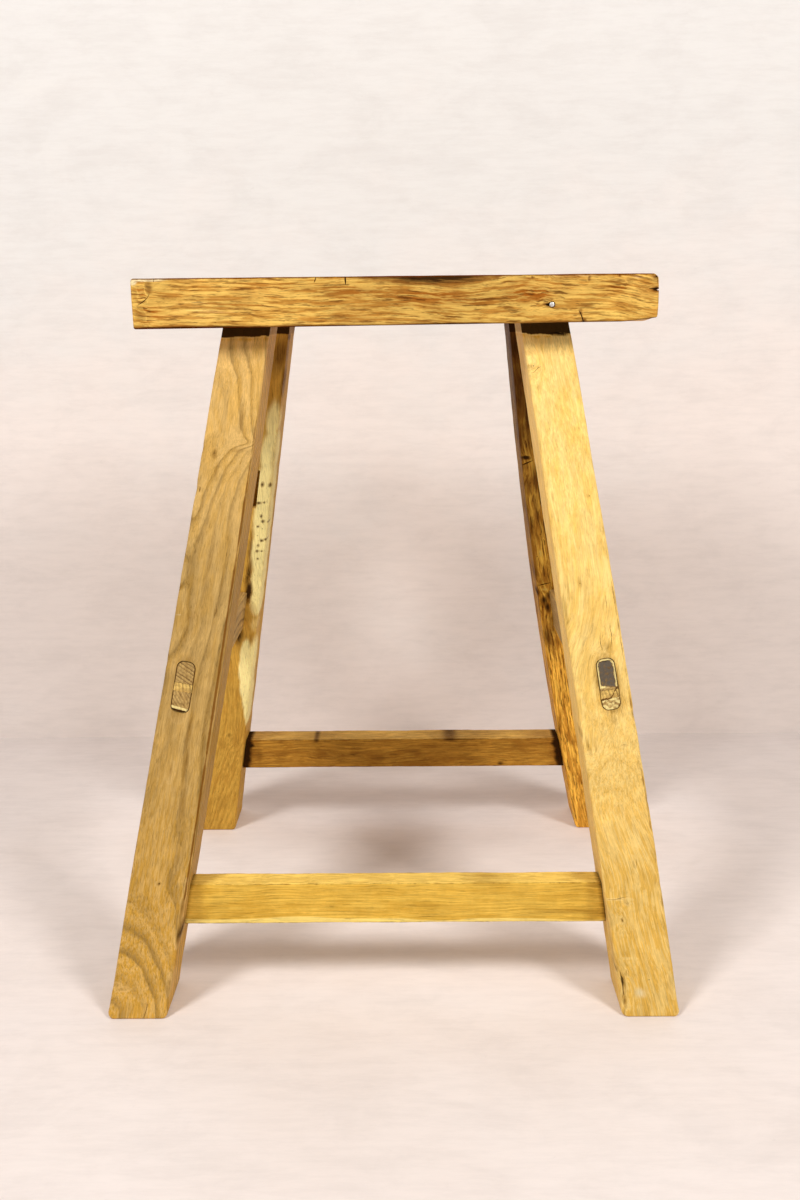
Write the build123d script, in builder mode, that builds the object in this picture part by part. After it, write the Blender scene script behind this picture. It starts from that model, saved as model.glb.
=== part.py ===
"""A rustic elm stool: a plank seat on four legs splayed both ways, tied by low stretchers along its long sides and by
higher stretchers along its short sides. Wedged through tenons hold it all together, and one nail pins a leg.

Millimetres. The origin is on the floor under the middle of the stool, +X to the right, +Y to the back, +Z up."""

from build123d import *
from math import atan2, degrees
import os

os.makedirs("parts", exist_ok=True)

# The seat plank, thinner towards its right end
seat_height = 500.0
seat_length = 342.0
seat_depth = 210.0
seat_thickness = 32.0
seat_thinning = 2.0
seat_edge_round = 2.0
seat_corner_round = 4.0

# The legs. A reach is from the stool's middle to a leg's outer face, at the floor or at the shoulder under the seat
leg_depth = 46.5
feet_depth = 341.0
seat_overhang = 20.0
leg_arris_round = 1.5
foot_round = 5.0
front_left_foot_reach = 206.5
front_left_foot_width = 42.5
front_right_foot_reach = 195.0
front_right_foot_width = 41.0
back_left_foot_reach = 203.0
back_left_foot_width = 42.5
back_right_foot_reach = 206.5
back_right_foot_width = 41.5
left_shoulder_reach = 116.5
front_right_shoulder_reach = 117.0
back_right_shoulder_reach = 120.0
shoulder_width = 33.5
back_right_bow = 6.4

# The tenons on top of the legs, which pass through the seat
leg_tenon_width = 20.0
leg_tenon_depth = 28.0

# The low stretchers along the front and the back, with heights above the floor to their middles
front_stretcher_middle = 73.0
front_stretcher_height = 31.0
front_stretcher_thickness = 16.5
front_tenon_height = 26.0
front_tenon_thickness = 9.0
back_stretcher_middle = 79.0
back_stretcher_height = 28.0
back_stretcher_thickness = 24.0
back_tenon_height = 23.0
back_tenon_thickness = 11.0

# The side stretchers, between the front and back legs. Their tenons stand out from the bars' own middles by an offset,
# and from the middles of the front legs by the left and the right offsets
side_stretcher_middle = 230.0
side_stretcher_height = 35.0
side_stretcher_thickness = 21.0
side_tenon_width = 12.5
side_tenon_round = 4.5
side_tenon_offset = 2.0
left_tenon_offset = 4.1
right_tenon_offset = 5.4

# Unused mortises above the side stretchers, in the faces that the legs turn to each other
old_mortise_middle = 338.0
old_mortise_height = 33.0
old_mortise_width = 12.0
old_mortise_depth = 24.0

# The wedges that spread the tenons
wedge_length = 26.0
wedge_tip = 0.8
seat_wedge_mouth = 3.6
rail_wedge_mouth = 3.6
side_wedge_mouth = 5.5
front_right_wedge_drop = 6.5

# The nail through the seat's front edge into the front right leg's tenon. It stands out from the tenon's middle by the
# offset, and lies below the seat's top by a share of the seat's thickness
nail_offset = 3.8
nail_drop_share = 0.594
nail_length = 46.0
nail_radius = 1.2
nail_head_radius = 2.4
nail_head_thickness = 1.0
nail_point_length = 5.0
nail_tip_share = 0.12

# Room between a tenon and its mortise, and how far a cutting shape runs past what it cuts
joint_clearance = 0.15
overrun = 8.0

shoulder_height = seat_height - seat_thickness
foot_back = feet_depth / 2
shoulder_back = seat_depth / 2 - seat_overhang


def at_height(foot, shoulder, z):
    """a size of a leg at height z, from its values at the floor and at the shoulder"""
    return foot + (shoulder - foot) * z / shoulder_height


class Leg:
    """where one leg stands: side is -1 for left and 1 for right, end is -1 for front and 1 for back"""

    def __init__(self, side, end, foot_reach, foot_width, shoulder_reach, bow=0):
        self.side = side
        self.end = end
        self.foot_reach = foot_reach
        self.foot_width = foot_width
        self.shoulder_reach = shoulder_reach
        self.bow = bow

    def width(self, z):
        return at_height(self.foot_width, shoulder_width, z)

    def middle_x(self, z):
        """the bow draws the leg's middle in between its ends, as a parabola"""
        share = z / shoulder_height
        bowed_in = self.bow * 4 * share * (1 - share)
        reach = at_height(self.foot_reach, self.shoulder_reach, z)
        return self.side * (reach - self.width(z) / 2 - bowed_in)

    def outer_face_y(self, z):
        return self.end * at_height(foot_back, shoulder_back, z)

    def middle_y(self, z):
        return self.outer_face_y(z) - self.end * leg_depth / 2

    def inner_face_y(self, z):
        return self.outer_face_y(z) - self.end * leg_depth

    def outer_face_x(self, z):
        return self.middle_x(z) + self.side * self.width(z) / 2

    def middle(self, z):
        return Vector(self.middle_x(z), self.middle_y(z), z)

    def lean(self):
        """the leg's angle from upright towards +X, seen from the front"""
        return degrees(atan2(self.middle_x(shoulder_height) - self.middle_x(0), shoulder_height))


legs = {
    "front_left": Leg(-1, -1, front_left_foot_reach, front_left_foot_width, left_shoulder_reach),
    "front_right": Leg(1, -1, front_right_foot_reach, front_right_foot_width, front_right_shoulder_reach),
    "back_left": Leg(-1, 1, back_left_foot_reach, back_left_foot_width, left_shoulder_reach),
    "back_right": Leg(
        1, 1, back_right_foot_reach, back_right_foot_width, back_right_shoulder_reach, back_right_bow
    ),
}


def leg_bar(leg):
    """a leg's tapered bar from the floor to the seat's top, before its joints are cut"""
    heights = (0, seat_height / 2, seat_height)
    left_edge = [(leg.middle_x(z) - leg.width(z) / 2, z) for z in heights]
    right_edge = [(leg.middle_x(z) + leg.width(z) / 2, z) for z in heights]
    with BuildPart() as bar:
        with BuildSketch(Plane.XZ) as from_the_front:
            with BuildLine():
                for edge in (left_edge, right_edge):
                    if leg.bow:
                        ThreePointArc(*edge)
                    else:
                        Line(edge[0], edge[-1])
                Line(left_edge[0], right_edge[0])
                Line(left_edge[-1], right_edge[-1])
            make_face()
            fillet(from_the_front.vertices().group_by(Axis.Y)[0], foot_round)
        extrude(amount=feet_depth, both=True)
        with BuildSketch(Plane.YZ):
            with BuildLine():
                Polyline(
                    (leg.outer_face_y(0), 0),
                    (leg.inner_face_y(0), 0),
                    (leg.inner_face_y(seat_height), seat_height),
                    (leg.outer_face_y(seat_height), seat_height),
                    close=True,
                )
            make_face()
        extrude(amount=2 * leg.foot_reach, both=True, mode=Mode.INTERSECT)
        fillet(bar.edges().filter_by(lambda edge: edge.length > shoulder_height / 2), leg_arris_round)
    return bar.part


def leg_tenon(leg, room=0, past=0):
    """the tenon on top of a leg, along the leg's slope, or its mortise in the seat when given room"""
    with BuildPart() as tenon:
        for z in (shoulder_height - overrun, seat_height + past):
            with BuildSketch(Plane.XY.offset(z)):
                with Locations((leg.middle_x(z), leg.middle_y(z))):
                    Rectangle(leg_tenon_width + 2 * room, leg_tenon_depth + 2 * room)
        loft(ruled=True)
    return tenon.part


def wedge_bar(mouth, outward, width_direction, width, thickness):
    """a wedge, thickest at its mouth, before it is trimmed flush there"""
    face = Plane(origin=mouth, x_dir=width_direction, z_dir=outward)
    past_mouth = thickness + (thickness - wedge_tip) * overrun / wedge_length
    with BuildPart() as wedge:
        with BuildSketch(face.offset(overrun)):
            Rectangle(width, past_mouth)
        with BuildSketch(face.offset(-wedge_length)):
            Rectangle(width, wedge_tip)
        loft(ruled=True)
    return wedge.part


leg_bars = {name: leg_bar(leg) for name, leg in legs.items()}
nail_height = seat_height - seat_thickness * nail_drop_share
nail_reach = legs["front_right"].middle_x(nail_height) + nail_offset

with BuildPart() as seat_bar:
    with BuildSketch(Plane.XZ):
        with BuildLine():
            Polyline(
                (-seat_length / 2, seat_height),
                (seat_length / 2, seat_height),
                (seat_length / 2, shoulder_height + seat_thinning),
                (-seat_length / 2, shoulder_height),
                close=True,
            )
        make_face()
    extrude(amount=seat_depth / 2, both=True)

# Every wedge: its mouth, the way out of the mouth, the way its width lies, its width and its thickness
side_middle_x = {
    "left": legs["front_left"].middle_x(side_stretcher_middle) - left_tenon_offset,
    "right": legs["front_right"].middle_x(side_stretcher_middle) + right_tenon_offset,
}
rails = {
    "front": (front_stretcher_middle, front_stretcher_height, front_stretcher_thickness),
    "back": (back_stretcher_middle, back_stretcher_height, back_stretcher_thickness),
}
rail_tenons = {
    "front": (front_tenon_height, front_tenon_thickness),
    "back": (back_tenon_height, back_tenon_thickness),
}
seat_wedges = {}
side_wedges = {}
rail_wedges = {}
for name, leg in legs.items():
    end_name, side_name = name.split("_")
    along_leg = (leg.middle(seat_height) - leg.middle(shoulder_height)).normalized()
    seat_wedges[name] = wedge_bar(
        leg.middle(seat_height), along_leg, (0, 1, 0), leg_tenon_depth, seat_wedge_mouth
    )
    side_wedge_z = side_stretcher_middle - (front_right_wedge_drop if name == "front_right" else 0)
    side_axis = Vector(0, 0, 1).rotate(Axis.Y, legs["front_" + side_name].lean())
    side_mouth = Vector(side_middle_x[side_name], leg.outer_face_y(side_wedge_z), side_stretcher_middle)
    side_mouth += side_axis * (side_wedge_z - side_stretcher_middle)
    across_tenon = side_axis.cross(Vector(0, -1, 0))
    side_wedges[name] = wedge_bar(
        side_mouth, (0, leg.end, 0), across_tenon, side_tenon_width, side_wedge_mouth
    )
    rail_z = rails[end_name][0]
    rail_mouth = (leg.outer_face_x(rail_z), leg.middle_y(rail_z), rail_z)
    rail_wedges[name] = wedge_bar(
        rail_mouth, (leg.side, 0, 0), (0, 1, 0), rail_tenons[end_name][1], rail_wedge_mouth
    )


def nail_hole(room=0):
    """the nail's shank along its axis, from inside the tenon to past the seat's front edge"""
    with BuildPart() as hole:
        with BuildSketch(Plane.XZ.offset(seat_depth / 2 - nail_length)):
            with Locations((nail_reach, nail_height)):
                Circle(nail_radius + room)
        extrude(amount=nail_length + overrun)
    return hole.part


# The seat
with BuildPart() as seat_plank:
    add(seat_bar.part)
    fillet(seat_plank.edges().filter_by(Axis.Z), seat_corner_round)
    fillet(seat_plank.faces().sort_by(Axis.Z)[-1].edges(), seat_edge_round)
    for leg in legs.values():
        add(leg_tenon(leg, room=joint_clearance, past=overrun), mode=Mode.SUBTRACT)
    add(nail_hole(joint_clearance), mode=Mode.SUBTRACT)
    with BuildSketch(Plane.XZ.offset(seat_depth / 2 - nail_head_thickness)):
        with Locations((nail_reach, nail_height)):
            Circle(nail_head_radius + joint_clearance)
    extrude(amount=overrun, mode=Mode.SUBTRACT)
seat_plank.part.label = "seat_plank"
export_step(seat_plank.part, "parts/seat_plank.step")


def side_section(side_name, offset=0):
    """where a side stretcher's cross section lies in the plane of X and Z: it leans with the legs"""
    lean = legs["front_" + side_name].lean()
    return Location((side_middle_x[side_name] + offset, side_stretcher_middle), -lean)


def side_tenon_bar(side_name, room=0):
    """the side stretchers' tenon section, from front to back through both legs, with rounded corners"""
    with BuildPart() as bar:
        with BuildSketch(Plane.XZ):
            with Locations(side_section(side_name)):
                RectangleRounded(
                    side_tenon_width + 2 * room, side_stretcher_height + 2 * room, side_tenon_round + room
                )
        extrude(amount=feet_depth / 2, both=True)
    return bar.part


def rail_tenon_bar(end_name, room=0):
    """a long stretcher's tenon section, from left to right through both legs"""
    middle_z = rails[end_name][0]
    height, thickness = rail_tenons[end_name]
    with BuildPart() as bar:
        with BuildSketch(Plane.YZ):
            with Locations((legs[end_name + "_left"].middle_y(middle_z), middle_z)):
                Rectangle(thickness + 2 * room, height + 2 * room)
        extrude(amount=max(leg.foot_reach for leg in legs.values()), both=True)
    return bar.part


def old_mortise(leg):
    """an unused mortise in the face that a leg turns to the middle of the stool"""
    floor_y = leg.inner_face_y(old_mortise_middle) + leg.end * old_mortise_depth
    across_leg = Vector(1, 0, 0).rotate(Axis.Y, leg.lean())
    middle = (leg.middle_x(old_mortise_middle), floor_y, old_mortise_middle)
    with BuildPart() as pocket:
        with BuildSketch(Plane(origin=middle, x_dir=across_leg, z_dir=(0, -leg.end, 0))):
            Rectangle(old_mortise_width, old_mortise_height)
        extrude(amount=old_mortise_depth + overrun)
    return pocket.part


# The legs, with their shoulders against the seat's underside
for name, leg in legs.items():
    end_name, side_name = name.split("_")
    with BuildPart() as leg_part:
        add(leg_bars[name])
        add(seat_bar.part, mode=Mode.SUBTRACT)
        add(leg_tenon(leg))
        add(seat_wedges[name], mode=Mode.SUBTRACT)
        add(side_tenon_bar(side_name, joint_clearance), mode=Mode.SUBTRACT)
        add(rail_tenon_bar(end_name, joint_clearance), mode=Mode.SUBTRACT)
        add(old_mortise(leg), mode=Mode.SUBTRACT)
        if name == "front_right":
            add(nail_hole(joint_clearance), mode=Mode.SUBTRACT)
    leg_part.part.label = name + "_leg"
    export_step(leg_part.part, f"parts/{name}_leg.step")

# The long stretchers, with shoulders cut to the slope of the legs
for end_name, (middle_z, height, thickness) in rails.items():
    left_name = end_name + "_left"
    right_name = end_name + "_right"
    left_leg = legs[left_name]
    right_leg = legs[right_name]
    with BuildPart() as tenons:
        add(leg_bars[left_name])
        add(leg_bars[right_name])
        add(rail_tenon_bar(end_name), mode=Mode.INTERSECT)
    with BuildPart() as stretcher:
        with BuildSketch(Plane.YZ.offset(left_leg.middle_x(middle_z))):
            with Locations((left_leg.middle_y(middle_z), middle_z)):
                Rectangle(thickness, height)
        extrude(amount=right_leg.middle_x(middle_z) - left_leg.middle_x(middle_z))
        add(leg_bars[left_name], mode=Mode.SUBTRACT)
        add(leg_bars[right_name], mode=Mode.SUBTRACT)
        add(tenons.part)
        add(rail_wedges[left_name], mode=Mode.SUBTRACT)
        add(rail_wedges[right_name], mode=Mode.SUBTRACT)
    stretcher.part.label = end_name + "_stretcher"
    export_step(stretcher.part, f"parts/{end_name}_stretcher.step")

# The side stretchers, with their tenon ends flush with the legs' front and back faces
for side_name in side_middle_x:
    front_name = "front_" + side_name
    back_name = "back_" + side_name
    front_leg = legs[front_name]
    back_leg = legs[back_name]
    bottom_z = side_stretcher_middle - side_stretcher_height
    top_z = side_stretcher_middle + side_stretcher_height
    with BuildPart() as tenons:
        add(leg_bars[front_name])
        add(leg_bars[back_name])
        add(side_tenon_bar(side_name), mode=Mode.INTERSECT)
    with BuildPart() as stretcher:
        with BuildSketch(Plane.XZ):
            with Locations(side_section(side_name, -front_leg.side * side_tenon_offset)):
                Rectangle(side_stretcher_thickness, side_stretcher_height)
        extrude(amount=feet_depth / 2, both=True)
        with BuildSketch(Plane.YZ):
            with BuildLine():
                Polyline(
                    (front_leg.inner_face_y(bottom_z), bottom_z),
                    (back_leg.inner_face_y(bottom_z), bottom_z),
                    (back_leg.inner_face_y(top_z), top_z),
                    (front_leg.inner_face_y(top_z), top_z),
                    close=True,
                )
            make_face()
        extrude(amount=2 * front_leg.foot_reach, both=True, mode=Mode.INTERSECT)
        add(tenons.part)
        add(side_wedges[front_name], mode=Mode.SUBTRACT)
        add(side_wedges[back_name], mode=Mode.SUBTRACT)
    stretcher.part.label = side_name + "_side_stretcher"
    export_step(stretcher.part, f"parts/{side_name}_side_stretcher.step")

# The wedges, trimmed flush with the seat's top or with the legs' outer faces
for name in legs:
    end_name, side_name = name.split("_")
    with BuildPart() as seat_wedge:
        add(seat_wedges[name])
        add(leg_tenon(legs[name]), mode=Mode.INTERSECT)
    seat_wedge.part.label = name + "_seat_wedge"
    export_step(seat_wedge.part, f"parts/{name}_seat_wedge.step")

    with BuildPart() as side_wedge:
        add(side_wedges[name])
        add(leg_bars[name], mode=Mode.INTERSECT)
        add(side_tenon_bar(side_name), mode=Mode.INTERSECT)
    side_wedge.part.label = name + "_side_wedge"
    export_step(side_wedge.part, f"parts/{name}_side_wedge.step")

    with BuildPart() as rail_wedge:
        add(rail_wedges[name])
        add(leg_bars[name], mode=Mode.INTERSECT)
    rail_wedge.part.label = name + "_rail_wedge"
    export_step(rail_wedge.part, f"parts/{name}_rail_wedge.step")

# The nail, its head flush with the seat's front edge
with BuildPart() as seat_nail:
    with BuildSketch(Plane.XZ.offset(seat_depth / 2 - nail_head_thickness)):
        with Locations((nail_reach, nail_height)):
            Circle(nail_head_radius)
    extrude(amount=nail_head_thickness)
    with BuildSketch(Plane.XZ.offset(seat_depth / 2 - nail_head_thickness)):
        with Locations((nail_reach, nail_height)):
            Circle(nail_radius)
    extrude(amount=nail_point_length + nail_head_thickness - nail_length)
    with BuildSketch(Plane.XZ.offset(seat_depth / 2 + nail_point_length - nail_length)):
        with Locations((nail_reach, nail_height)):
            Circle(nail_radius)
    with BuildSketch(Plane.XZ.offset(seat_depth / 2 - nail_length)):
        with Locations((nail_reach, nail_height)):
            Circle(nail_radius * nail_tip_share)
    loft(ruled=True)
seat_nail.part.label = "seat_nail"
export_step(seat_nail.part, "parts/seat_nail.step")
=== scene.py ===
import bmesh
import bpy
import math
from mathutils import Matrix, Vector, noise


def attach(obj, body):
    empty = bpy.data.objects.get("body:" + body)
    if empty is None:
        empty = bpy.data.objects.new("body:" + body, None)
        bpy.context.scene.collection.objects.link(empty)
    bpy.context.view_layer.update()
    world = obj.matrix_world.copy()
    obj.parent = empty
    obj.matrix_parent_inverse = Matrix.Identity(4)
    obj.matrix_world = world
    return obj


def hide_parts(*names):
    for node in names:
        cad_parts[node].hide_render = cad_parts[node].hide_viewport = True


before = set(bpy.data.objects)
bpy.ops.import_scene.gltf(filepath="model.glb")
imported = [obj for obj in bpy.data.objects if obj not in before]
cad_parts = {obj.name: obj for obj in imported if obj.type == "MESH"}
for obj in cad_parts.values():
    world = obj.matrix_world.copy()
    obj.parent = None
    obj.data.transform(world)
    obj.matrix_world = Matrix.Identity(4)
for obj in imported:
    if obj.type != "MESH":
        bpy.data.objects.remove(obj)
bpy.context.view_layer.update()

# Sizes in millimetres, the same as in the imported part. A mesh is turned into metres when it is finished
MM = 0.001
SEAT_HEIGHT, SEAT_LENGTH, SEAT_DEPTH, SEAT_THICKNESS, SEAT_THINNING = 500.0, 342.0, 210.0, 32.0, 2.0
SHOULDER = SEAT_HEIGHT - SEAT_THICKNESS
LEG_DEPTH, FOOT_BACK, SHOULDER_BACK, SHOULDER_WIDTH = 46.5, 170.5, 85.0, 33.5
TENON_WIDTH, TENON_DEPTH = 20.0, 28.0
SIDE_MIDDLE, SIDE_HEIGHT, SIDE_THICKNESS = 230.0, 35.0, 21.0
SIDE_TENON_WIDTH, SIDE_TENON_ROUND, SIDE_TENON_OFFSET = 12.5, 4.5, 2.0
OLD_MORTISE_MIDDLE, OLD_MORTISE_HEIGHT, OLD_MORTISE_WIDTH, OLD_MORTISE_DEPTH = 338.0, 33.0, 12.0, 24.0
WEDGE_LENGTH, WEDGE_TIP = 26.0, 0.8
SEAT_WEDGE_MOUTH, RAIL_WEDGE_MOUTH, SIDE_WEDGE_MOUTH, FRONT_RIGHT_WEDGE_DROP = 3.6, 3.6, 5.5, 6.5
# Room around a tenon in its mortise, and around a wedge in its slot
JOINT_ROOM, WEDGE_ROOM = 0.35, 0.06
HALF_LENGTH, HALF_DEPTH, SEAT_MIDDLE = SEAT_LENGTH / 2, SEAT_DEPTH / 2, SEAT_HEIGHT - SEAT_THICKNESS / 2
BACK = Vector((0, 1, 0))
# Edges that turn by more than this are shaded as sharp ones
SHARP_ANGLE = math.radians(38)
# The widths of the annual rings, and the length over which a wood's brightness along the grain is given
RING = {
    "seat": 2.1, "front_left": 7.0, "front_right": 3.2, "back_left": 3.0, "back_right": 2.6,
    "front": 2.3, "back": 2.3, "side": 1.5, "wedge": 1.0,
}
GRAIN_SPAN = 500.0


def blend(a, b, share):
    return a + (b - a) * share


def smooth_step(low, high, value):
    """0 below low, 1 above high, and an easy rise between them"""
    share = min(1.0, max(0.0, (value - low) / (high - low)))
    return share * share * (3 - 2 * share)


def drift(x, y=0.0, z=0.0):
    """smooth noise from about -1 to 1, the same on every run"""
    return noise.noise(Vector((x, y, z))) * 1.6


class Leg:
    """where one leg stands, and how its two side edges belly out of straight"""

    def __init__(
        self, name, side, end, foot_reach, foot_width, shoulder_reach, seed, bow=0.0, inner_belly=0.0, outer_belly=0.0
    ):
        self.name, self.side, self.end, self.seed = name, side, end, seed
        self.foot_reach, self.foot_width, self.shoulder_reach = foot_reach, foot_width, shoulder_reach
        self.bow, self.inner_belly, self.outer_belly = bow, inner_belly, outer_belly

    def width(self, z):
        return blend(self.foot_width, SHOULDER_WIDTH, z / SHOULDER)

    def middle_x(self, z):
        share = z / SHOULDER
        reach = blend(self.foot_reach, self.shoulder_reach, share)
        return self.side * (reach - self.width(z) / 2 - self.bow * 4 * share * (1 - share))

    def outer_y(self, z):
        return self.end * blend(FOOT_BACK, SHOULDER_BACK, z / SHOULDER)

    def inner_y(self, z):
        return self.outer_y(z) - self.end * LEG_DEPTH

    def middle_y(self, z):
        return self.outer_y(z) - self.end * LEG_DEPTH / 2

    def middle(self, z):
        return Vector((self.middle_x(z), self.middle_y(z), z))

    def axes(self):
        """the way up and the way across of what leans to one side with this leg"""
        lean = math.atan2(self.middle_x(SHOULDER) - self.middle_x(0), SHOULDER)
        return Vector((math.sin(lean), 0, math.cos(lean))), Vector((math.cos(lean), 0, -math.sin(lean)))

    def slope(self):
        """the way up along the leg's middle line"""
        return (self.middle(SEAT_HEIGHT) - self.middle(SHOULDER)).normalized()

    def local(self, place):
        """a place as millimetres across, deep and high, from the leg's middle line"""
        z = place.z
        return Vector((place.x - self.middle_x(z), place.y - self.middle_y(z), z))


LEGS = {
    leg.name: leg
    for leg in (
        Leg("front_left", -1, -1, 206.5, 42.5, 116.5, 3.1, inner_belly=2.2),
        Leg("front_right", 1, -1, 195.0, 41.0, 117.0, 17.7, outer_belly=2.0),
        Leg("back_left", -1, 1, 203.0, 42.5, 116.5, 29.3),
        Leg("back_right", 1, 1, 206.5, 41.5, 120.0, 41.9, bow=6.4),
    )
}
SIDE_X = {
    "left": LEGS["front_left"].middle_x(SIDE_MIDDLE) - 4.1,
    "right": LEGS["front_right"].middle_x(SIDE_MIDDLE) + 5.4,
}
# A rail's middle height, height, thickness, tenon height and tenon thickness
RAILS = {"front": (73.0, 31.0, 16.5, 26.0, 9.0), "back": (79.0, 28.0, 24.0, 23.0, 11.0)}


def gridded_block(cuts):
    """a block from -0.5 to 0.5 each way, divided by that many cuts each way"""
    mesh = bmesh.new()
    bmesh.ops.create_cube(mesh, size=1)
    for axis, count in enumerate(cuts):
        along = [e for e in mesh.edges if abs(e.verts[0].co[axis] - e.verts[1].co[axis]) > 1e-6]
        bmesh.ops.subdivide_edges(mesh, edges=along, cuts=count, use_grid_fill=True)
    return mesh


def gathered(share):
    """a share from -1 to 1, drawn out towards both ends so that the edges get finer rows"""
    return math.copysign(1 - (1 - abs(share)) ** 1.5, share)


def eased(point, half, radius):
    """a point of a box moved in onto the box's rounded edges"""
    core = Vector([max(radius - h, min(h - radius, c)) for c, h in zip(point, half)])
    out = Vector(point) - core
    if out.length < 1e-6:
        return Vector(point)
    return core + out * (radius / out.length)


def rounded_section(u, v, half_u, half_v, radius):
    """a place in a bar's section with rounded corners, from shares of -1 to 1 each way"""
    out = max(abs(u), abs(v), 1e-6)
    place = eased((u / out * half_u, v / out * half_v, 0), (half_u, half_v, radius), radius)
    return place.x * out, place.y * out


def finished(node, mesh, material, slot, paint, cutter=None):
    """makes a node's object from a mesh in millimetres, coloured by a function of place and cut by a second mesh"""
    name = node + "_" + slot.split("_")[-1]
    bmesh.ops.recalc_face_normals(mesh, faces=mesh.faces)
    if mesh.calc_volume(signed=True) < 0:
        bmesh.ops.reverse_faces(mesh, faces=mesh.faces)
    data = bpy.data.meshes.new(name)
    mesh.to_mesh(data)
    mesh.free()
    piece = bpy.data.objects.new(name, data)
    bpy.context.scene.collection.objects.link(piece)
    if cutter is not None:
        bmesh.ops.recalc_face_normals(cutter, faces=cutter.faces)
        tool_data = bpy.data.meshes.new(name + "_cut")
        cutter.to_mesh(tool_data)
        cutter.free()
        tool = bpy.data.objects.new(name + "_cut", tool_data)
        bpy.context.scene.collection.objects.link(tool)
        cut = piece.modifiers.new("cut", "BOOLEAN")
        cut.operation, cut.solver, cut.object = "DIFFERENCE", "MANIFOLD", tool
        graph = bpy.context.evaluated_depsgraph_get()
        data = bpy.data.meshes.new_from_object(piece.evaluated_get(graph))
        piece.modifiers.clear()
        piece.data = data
        bpy.data.objects.remove(tool)
    data.materials.clear()
    data.materials.append(material)
    grain, tone = [], []
    for vert in data.vertices:
        flow, mark = paint(vert.co)
        grain.extend(flow)
        tone.extend(mark)
    data.attributes.new("grain", "FLOAT_VECTOR", "POINT").data.foreach_set("vector", grain)
    data.attributes.new("tone", "FLOAT_VECTOR", "POINT").data.foreach_set("vector", tone)
    data.transform(Matrix.Scale(MM, 4))
    data.polygons.foreach_set("use_smooth", [True] * len(data.polygons))
    data.set_sharp_from_angle(angle=SHARP_ANGLE)
    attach(piece, "root")
    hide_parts(node)


def join_into(mesh, other):
    """moves the faces of another mesh into this one"""
    data = bpy.data.meshes.new("moved")
    other.to_mesh(data)
    other.free()
    mesh.from_mesh(data)
    bpy.data.meshes.remove(data)


def prism(section, way, start, end):
    """a closed prism: its section is a list of points, which is drawn along a way"""
    mesh = bmesh.new()
    face = mesh.faces.new([mesh.verts.new(Vector(p) + way * start) for p in section])
    made = bmesh.ops.extrude_face_region(mesh, geom=[face])["geom"]
    bmesh.ops.translate(mesh, vec=way * (end - start), verts=[g for g in made if isinstance(g, bmesh.types.BMVert)])
    bmesh.ops.recalc_face_normals(mesh, faces=mesh.faces)
    return mesh


def tapered_bar(low_middle, high_middle, width, depth, past):
    """a square bar between two level sections, run past its high end"""
    mesh = bmesh.new()
    bmesh.ops.create_cube(mesh, size=1)
    way = high_middle - low_middle
    for vert in mesh.verts:
        share = 0.0 if vert.co.z < 0 else 1 + past / way.z
        middle = low_middle + way * share
        vert.co = middle + Vector((vert.co.x * width, vert.co.y * depth, 0))
    return mesh


def wedge_shape(mouth, outward, across, width, thickness, room=0.0, past=0.0):
    """a wedge, thickest at its mouth, or with room around it and run past its mouth the shape of its slot"""
    mesh = gridded_block((24, 8, 9) if not past else (0, 0, 0))
    thin_way = outward.cross(across)
    for vert in mesh.verts:
        depth = (0.5 - vert.co.z) * (WEDGE_LENGTH + past) - past
        thick = blend(thickness, WEDGE_TIP, depth / WEDGE_LENGTH) + 2 * room
        vert.co = (
            mouth
            + across * vert.co.x * (width + 2 * room)
            + thin_way * vert.co.y * thick
            - outward * (depth + (0.0 if past else 0.05))
        )
    return mesh


def side_frame(side):
    """the middle, the way up and the way across of a side stretcher's section, which leans with the legs"""
    return Vector((SIDE_X[side], 0, SIDE_MIDDLE)), *LEGS["front_" + side].axes()


def side_mortise(side):
    """the rounded outline of a side stretcher's mortise, around its middle, as places at y 0"""
    middle, up, across = side_frame(side)
    half_width, half_height = SIDE_TENON_WIDTH / 2 + JOINT_ROOM, SIDE_HEIGHT / 2 + JOINT_ROOM
    radius = SIDE_TENON_ROUND + JOINT_ROOM
    steps = 5
    places = []
    for quarter, (sx, sz) in enumerate(((1, 1), (-1, 1), (-1, -1), (1, -1))):
        for step in range(steps + 1):
            turn = math.radians(90 * (quarter + step / steps))
            x = sx * (half_width - radius) + radius * math.cos(turn)
            z = sz * (half_height - radius) + radius * math.sin(turn)
            places.append(middle + across * x + up * z)
    return places


# How far outside the surface a crack's cutting shape starts, and the share of its width that is left at its bottom
CRACK_LIFT, CRACK_CLOSING = 1.5, 0.12


def jagged(path, jag, put):
    """a crack's places from its path: one more between each two, moved aside by jag, and all put on a face by put"""
    fine = []
    for (ax, az), (bx, bz) in zip(path, path[1:]):
        fine += [put(ax, az), put(blend(ax, bx, 0.5) + jag(ax, az), blend(az, bz, 0.5))]
    return fine + [put(*path[-1])]


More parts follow.
